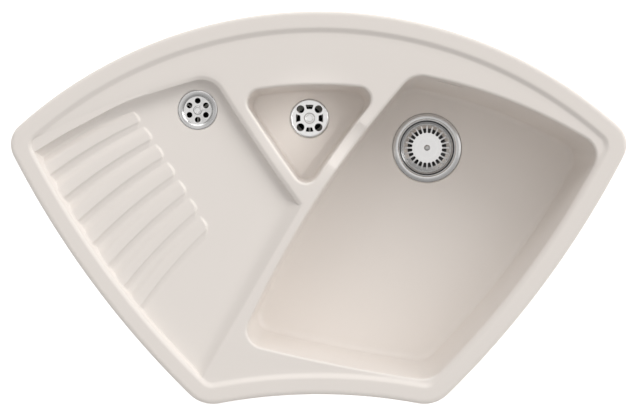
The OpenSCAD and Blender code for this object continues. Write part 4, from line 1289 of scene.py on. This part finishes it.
def screw(name, centre, floor, seat, head_r):
    """A slotted screw with a cupped head."""
    top = seat + 2.0
    cup = 0.65 * head_r
    profile = rounded_profile([
        (0.0, top - 0.8, 0), (cup - 0.4, top - 0.8, 0.4), (cup, top, 0.3), (head_r - 1.0, top, 0.7),
        (head_r, seat + 0.5, 0.4), (head_r, seat, 0), (3.0, seat, 0), (3.0, HUB_TOP - 12.0, 0.4),
        (0.0, HUB_TOP - 12.0, 0)])
    piece = turned(name, centre, floor, profile, steps=72)
    corner = complex(0.6 * head_r, 0.9)
    outline = np.array([-corner, corner.conjugate(), corner, -corner.conjugate()])
    slot = prism("slot", centre + heading(40) * outline, floor + top - 1.6, floor + top + 2)
    return joined(piece, slot, "DIFFERENCE")


HUB_TOP = -SIEVE_BOSS - 6.0

place(smooth(sink_body()), "root", "white_glaze", GLAZE, "sink_body")
paint_cup_shade(place(smooth(flange_cup()), "root", "polished_steel", BASKET_STEEL, "basket_flange_cup"))
for piece, body, finish, node in (
        (strainer(), "basket", BASKET_STEEL, "basket_strainer"),
        (pin_head(), "basket", STEM_STEEL, "basket_pin"),
        (small_sieve_plate(), "root", SMALL_STEEL, "small_sieve"),
        (drainer_sieve_plate(), "root", DRAIN_STEEL, "drainer_sieve"),
        (screw("small_sieve_screw", SMALL_AT, SMALL_FLOOR, -FLANGE_SINK, 9.0), "root",
         SMALL_STEEL, "small_screw"),
        (screw("drainer_sieve_screw", DRAIN_AT, DRAIN_FLOOR, -6.0, 7.3), "root",
         DRAIN_STEEL, "drainer_screw")):
    place(smooth(piece), body, "polished_steel", finish, node)
for finish, nodes in (
        (RUBBER, ("basket_flange_seal", "basket_body_gasket", "basket_seal_ring", "small_sieve_seal",
                  "small_body_gasket", "drainer_sieve_seal", "drainer_body_gasket", "overflow_grommet")),
        (PLASTIC, ("basket_waste_body", "small_waste_body", "drainer_waste_body", "overflow_connector")),
        (STEM_STEEL, ("basket_clamp_screw", "basket_stem"))):
    for node in nodes:
        dress(node, finish)
WASTES = (("basket", BASKET_AT), ("small", SMALL_AT), ("drainer", DRAIN_AT))
for waste, centre in WASTES:
    dress(waste + "_insert_nut", brass_finish(waste + "_brass", centre))


# Floor and light
OUTLET_BORE_R = 20.9
FLOOR_BELOW = 0.02
FLOOR_GLOW = 0.65


def stage_finish(name, grey, roughness, emission=0.0):
    finish = bpy.data.materials.new(name)
    finish.use_nodes = True
    shader = finish.node_tree.nodes["Principled BSDF"]
    for label, value in (("Base Color", (grey, grey, grey, 1.0)), ("Roughness", roughness),
                         ("Emission Color", (1.0, 1.0, 1.0, 1.0)), ("Emission Strength", emission)):
        shader.inputs[label].default_value = value
    return finish


def pale_floor():
    """A white floor that glows a little, so that it stays white under the sink's shadow."""
    level = cad_bounds[0][2] - FLOOR_BELOW
    skin = Skin()
    corners = skin.add([-9000 - 9000j, 9000 - 9000j, 9000 + 9000j, -9000 + 9000j], level / MM)
    skin.faces.append(tuple(corners))
    piece = skin.build("floor")
    piece.data.materials.append(stage_finish("floor", 0.9, 0.9, FLOOR_GLOW))


def paint_outlet_shade():
    """Black discs in the outlets' ends: painted shade standing for the dark inside of the pipes that would
    follow.
    """
    finish = stage_finish("pipe_dark", 0.01, 1.0)
    for waste, centre in WASTES:
        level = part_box(waste + "_waste_body")[0].z / MM + 1.0
        skin = Skin()
        skin.fan(skin.add(circle(centre, OUTLET_BORE_R, 48), level), (centre.real, centre.imag, level))
        piece = skin.build(waste + "_pipe_dark")
        piece.data.materials.append(finish)


def lamp(name, kind, azimuth, elevation, strength, **settings):
    """A lamp, by its bearing from +X and its height in the sky in degrees, and the way towards it."""
    data = bpy.data.lights.new(name, kind)
    data.energy = strength
    data.color = LIGHT_COLOUR
    for key, value in settings.items():
        setattr(data, key, value)
    turn, climb = math.radians(azimuth), math.radians(elevation)
    towards = Vector((math.cos(turn) * math.cos(climb), math.sin(turn) * math.cos(climb), math.sin(climb)))
    piece = linked(name, data)
    piece.rotation_euler = towards.to_track_quat("Z", "Y").to_euler()
    return piece, towards


def glow(tree, way, direction, low, high, strength):
    """A soft patch of brightness in the surround, about a direction."""
    facing = made(tree, "ShaderNodeVectorMath", {0: way, 1: Vector(direction).normalized()}, "Value",
                  operation="DOT_PRODUCT")
    return mapped(tree, facing, low, high, 0.0, strength, interpolation_type="SMOOTHSTEP")


LIGHT_COLOUR = (1.0, 0.978, 0.958)
SKY_EVEN = 0.37
# Each patch: its direction, the closeness to it where it begins and where it is full, and its strength
SKY_PATCHES = [((0.35, 0.6, 0.72), 0.2, 0.9, 0.19), ((0, 0, 1), 0.97, 0.992, 0.52),
               ((0, 0.64, 0.77), 0.88, 0.95, 0.5), ((-0.49, 0.08, 0.87), 0.975, 0.99, 0.6),
               ((0.49, 0.06, 0.87), 0.98, 0.992, 0.5)]
SUN_WIDTH = math.radians(40.0)
BACK_STRENGTH = 0.56
SIDE_STRENGTH = 1.04
BOWL_LAMP_POWER = 42.0
BOWL_LAMP_AIM = SMALL_AT + 1 - 14j
BOWL_LAMP_AWAY = 1.5
BOWL_LAMP_BEAM = {"spot_size": math.radians(4.0), "spot_blend": 0.6, "shadow_soft_size": 0.06}


def studio():
    """A pale surround with brighter patches, two wide lamps and a small one for the small bowl."""
    world = bpy.data.worlds.new("studio")
    bpy.context.scene.world = world
    world.use_nodes = True
    tree = world.node_tree
    back = tree.nodes["Background"]
    where = made(tree, "ShaderNodeTexCoord", {}, "Generated")
    way = made(tree, "ShaderNodeVectorMath", {0: where}, operation="NORMALIZE")
    level = SKY_EVEN
    for patch in SKY_PATCHES:
        level = maths(tree, "ADD", glow(tree, way, *patch), level)
    tree.links.new(level, back.inputs["Strength"])
    back.inputs["Color"].default_value = (*LIGHT_COLOUR, 1.0)
    lamp("back", "SUN", 90.0, 30.0, BACK_STRENGTH, angle=SUN_WIDTH)
    lamp("side", "SUN", 30.0, 30.0, SIDE_STRENGTH, angle=SUN_WIDTH)
    spot, towards = lamp("bowl_lamp", "SPOT", 15.0, 72.0, BOWL_LAMP_POWER, **BOWL_LAMP_BEAM)
    spot.location = Vector((BOWL_LAMP_AIM.real * MM, BOWL_LAMP_AIM.imag * MM, 0)) + towards * BOWL_LAMP_AWAY


pale_floor()
paint_outlet_shade()
studio()
bpy.context.scene.view_settings.view_transform = "Standard"

# Camera: straight above the sink, at the photograph's distance
PHOTO_W = 640
PX_PER_MM = 0.627
CAMERA_OVER = complex(2.1, -241.6)
CAMERA_HEIGHT = 5500.0
SENSOR_W = 36.0
camera_data = bpy.data.cameras.new("camera")
camera_data.sensor_width = SENSOR_W
camera_data.lens = SENSOR_W * CAMERA_HEIGHT * PX_PER_MM / PHOTO_W
camera_data.clip_end = 50.0
camera = linked("camera", camera_data)
camera.location = (CAMERA_OVER.real * MM, CAMERA_OVER.imag * MM, (RIM_TOP + CAMERA_HEIGHT) * MM)
bpy.context.scene.camera = camera
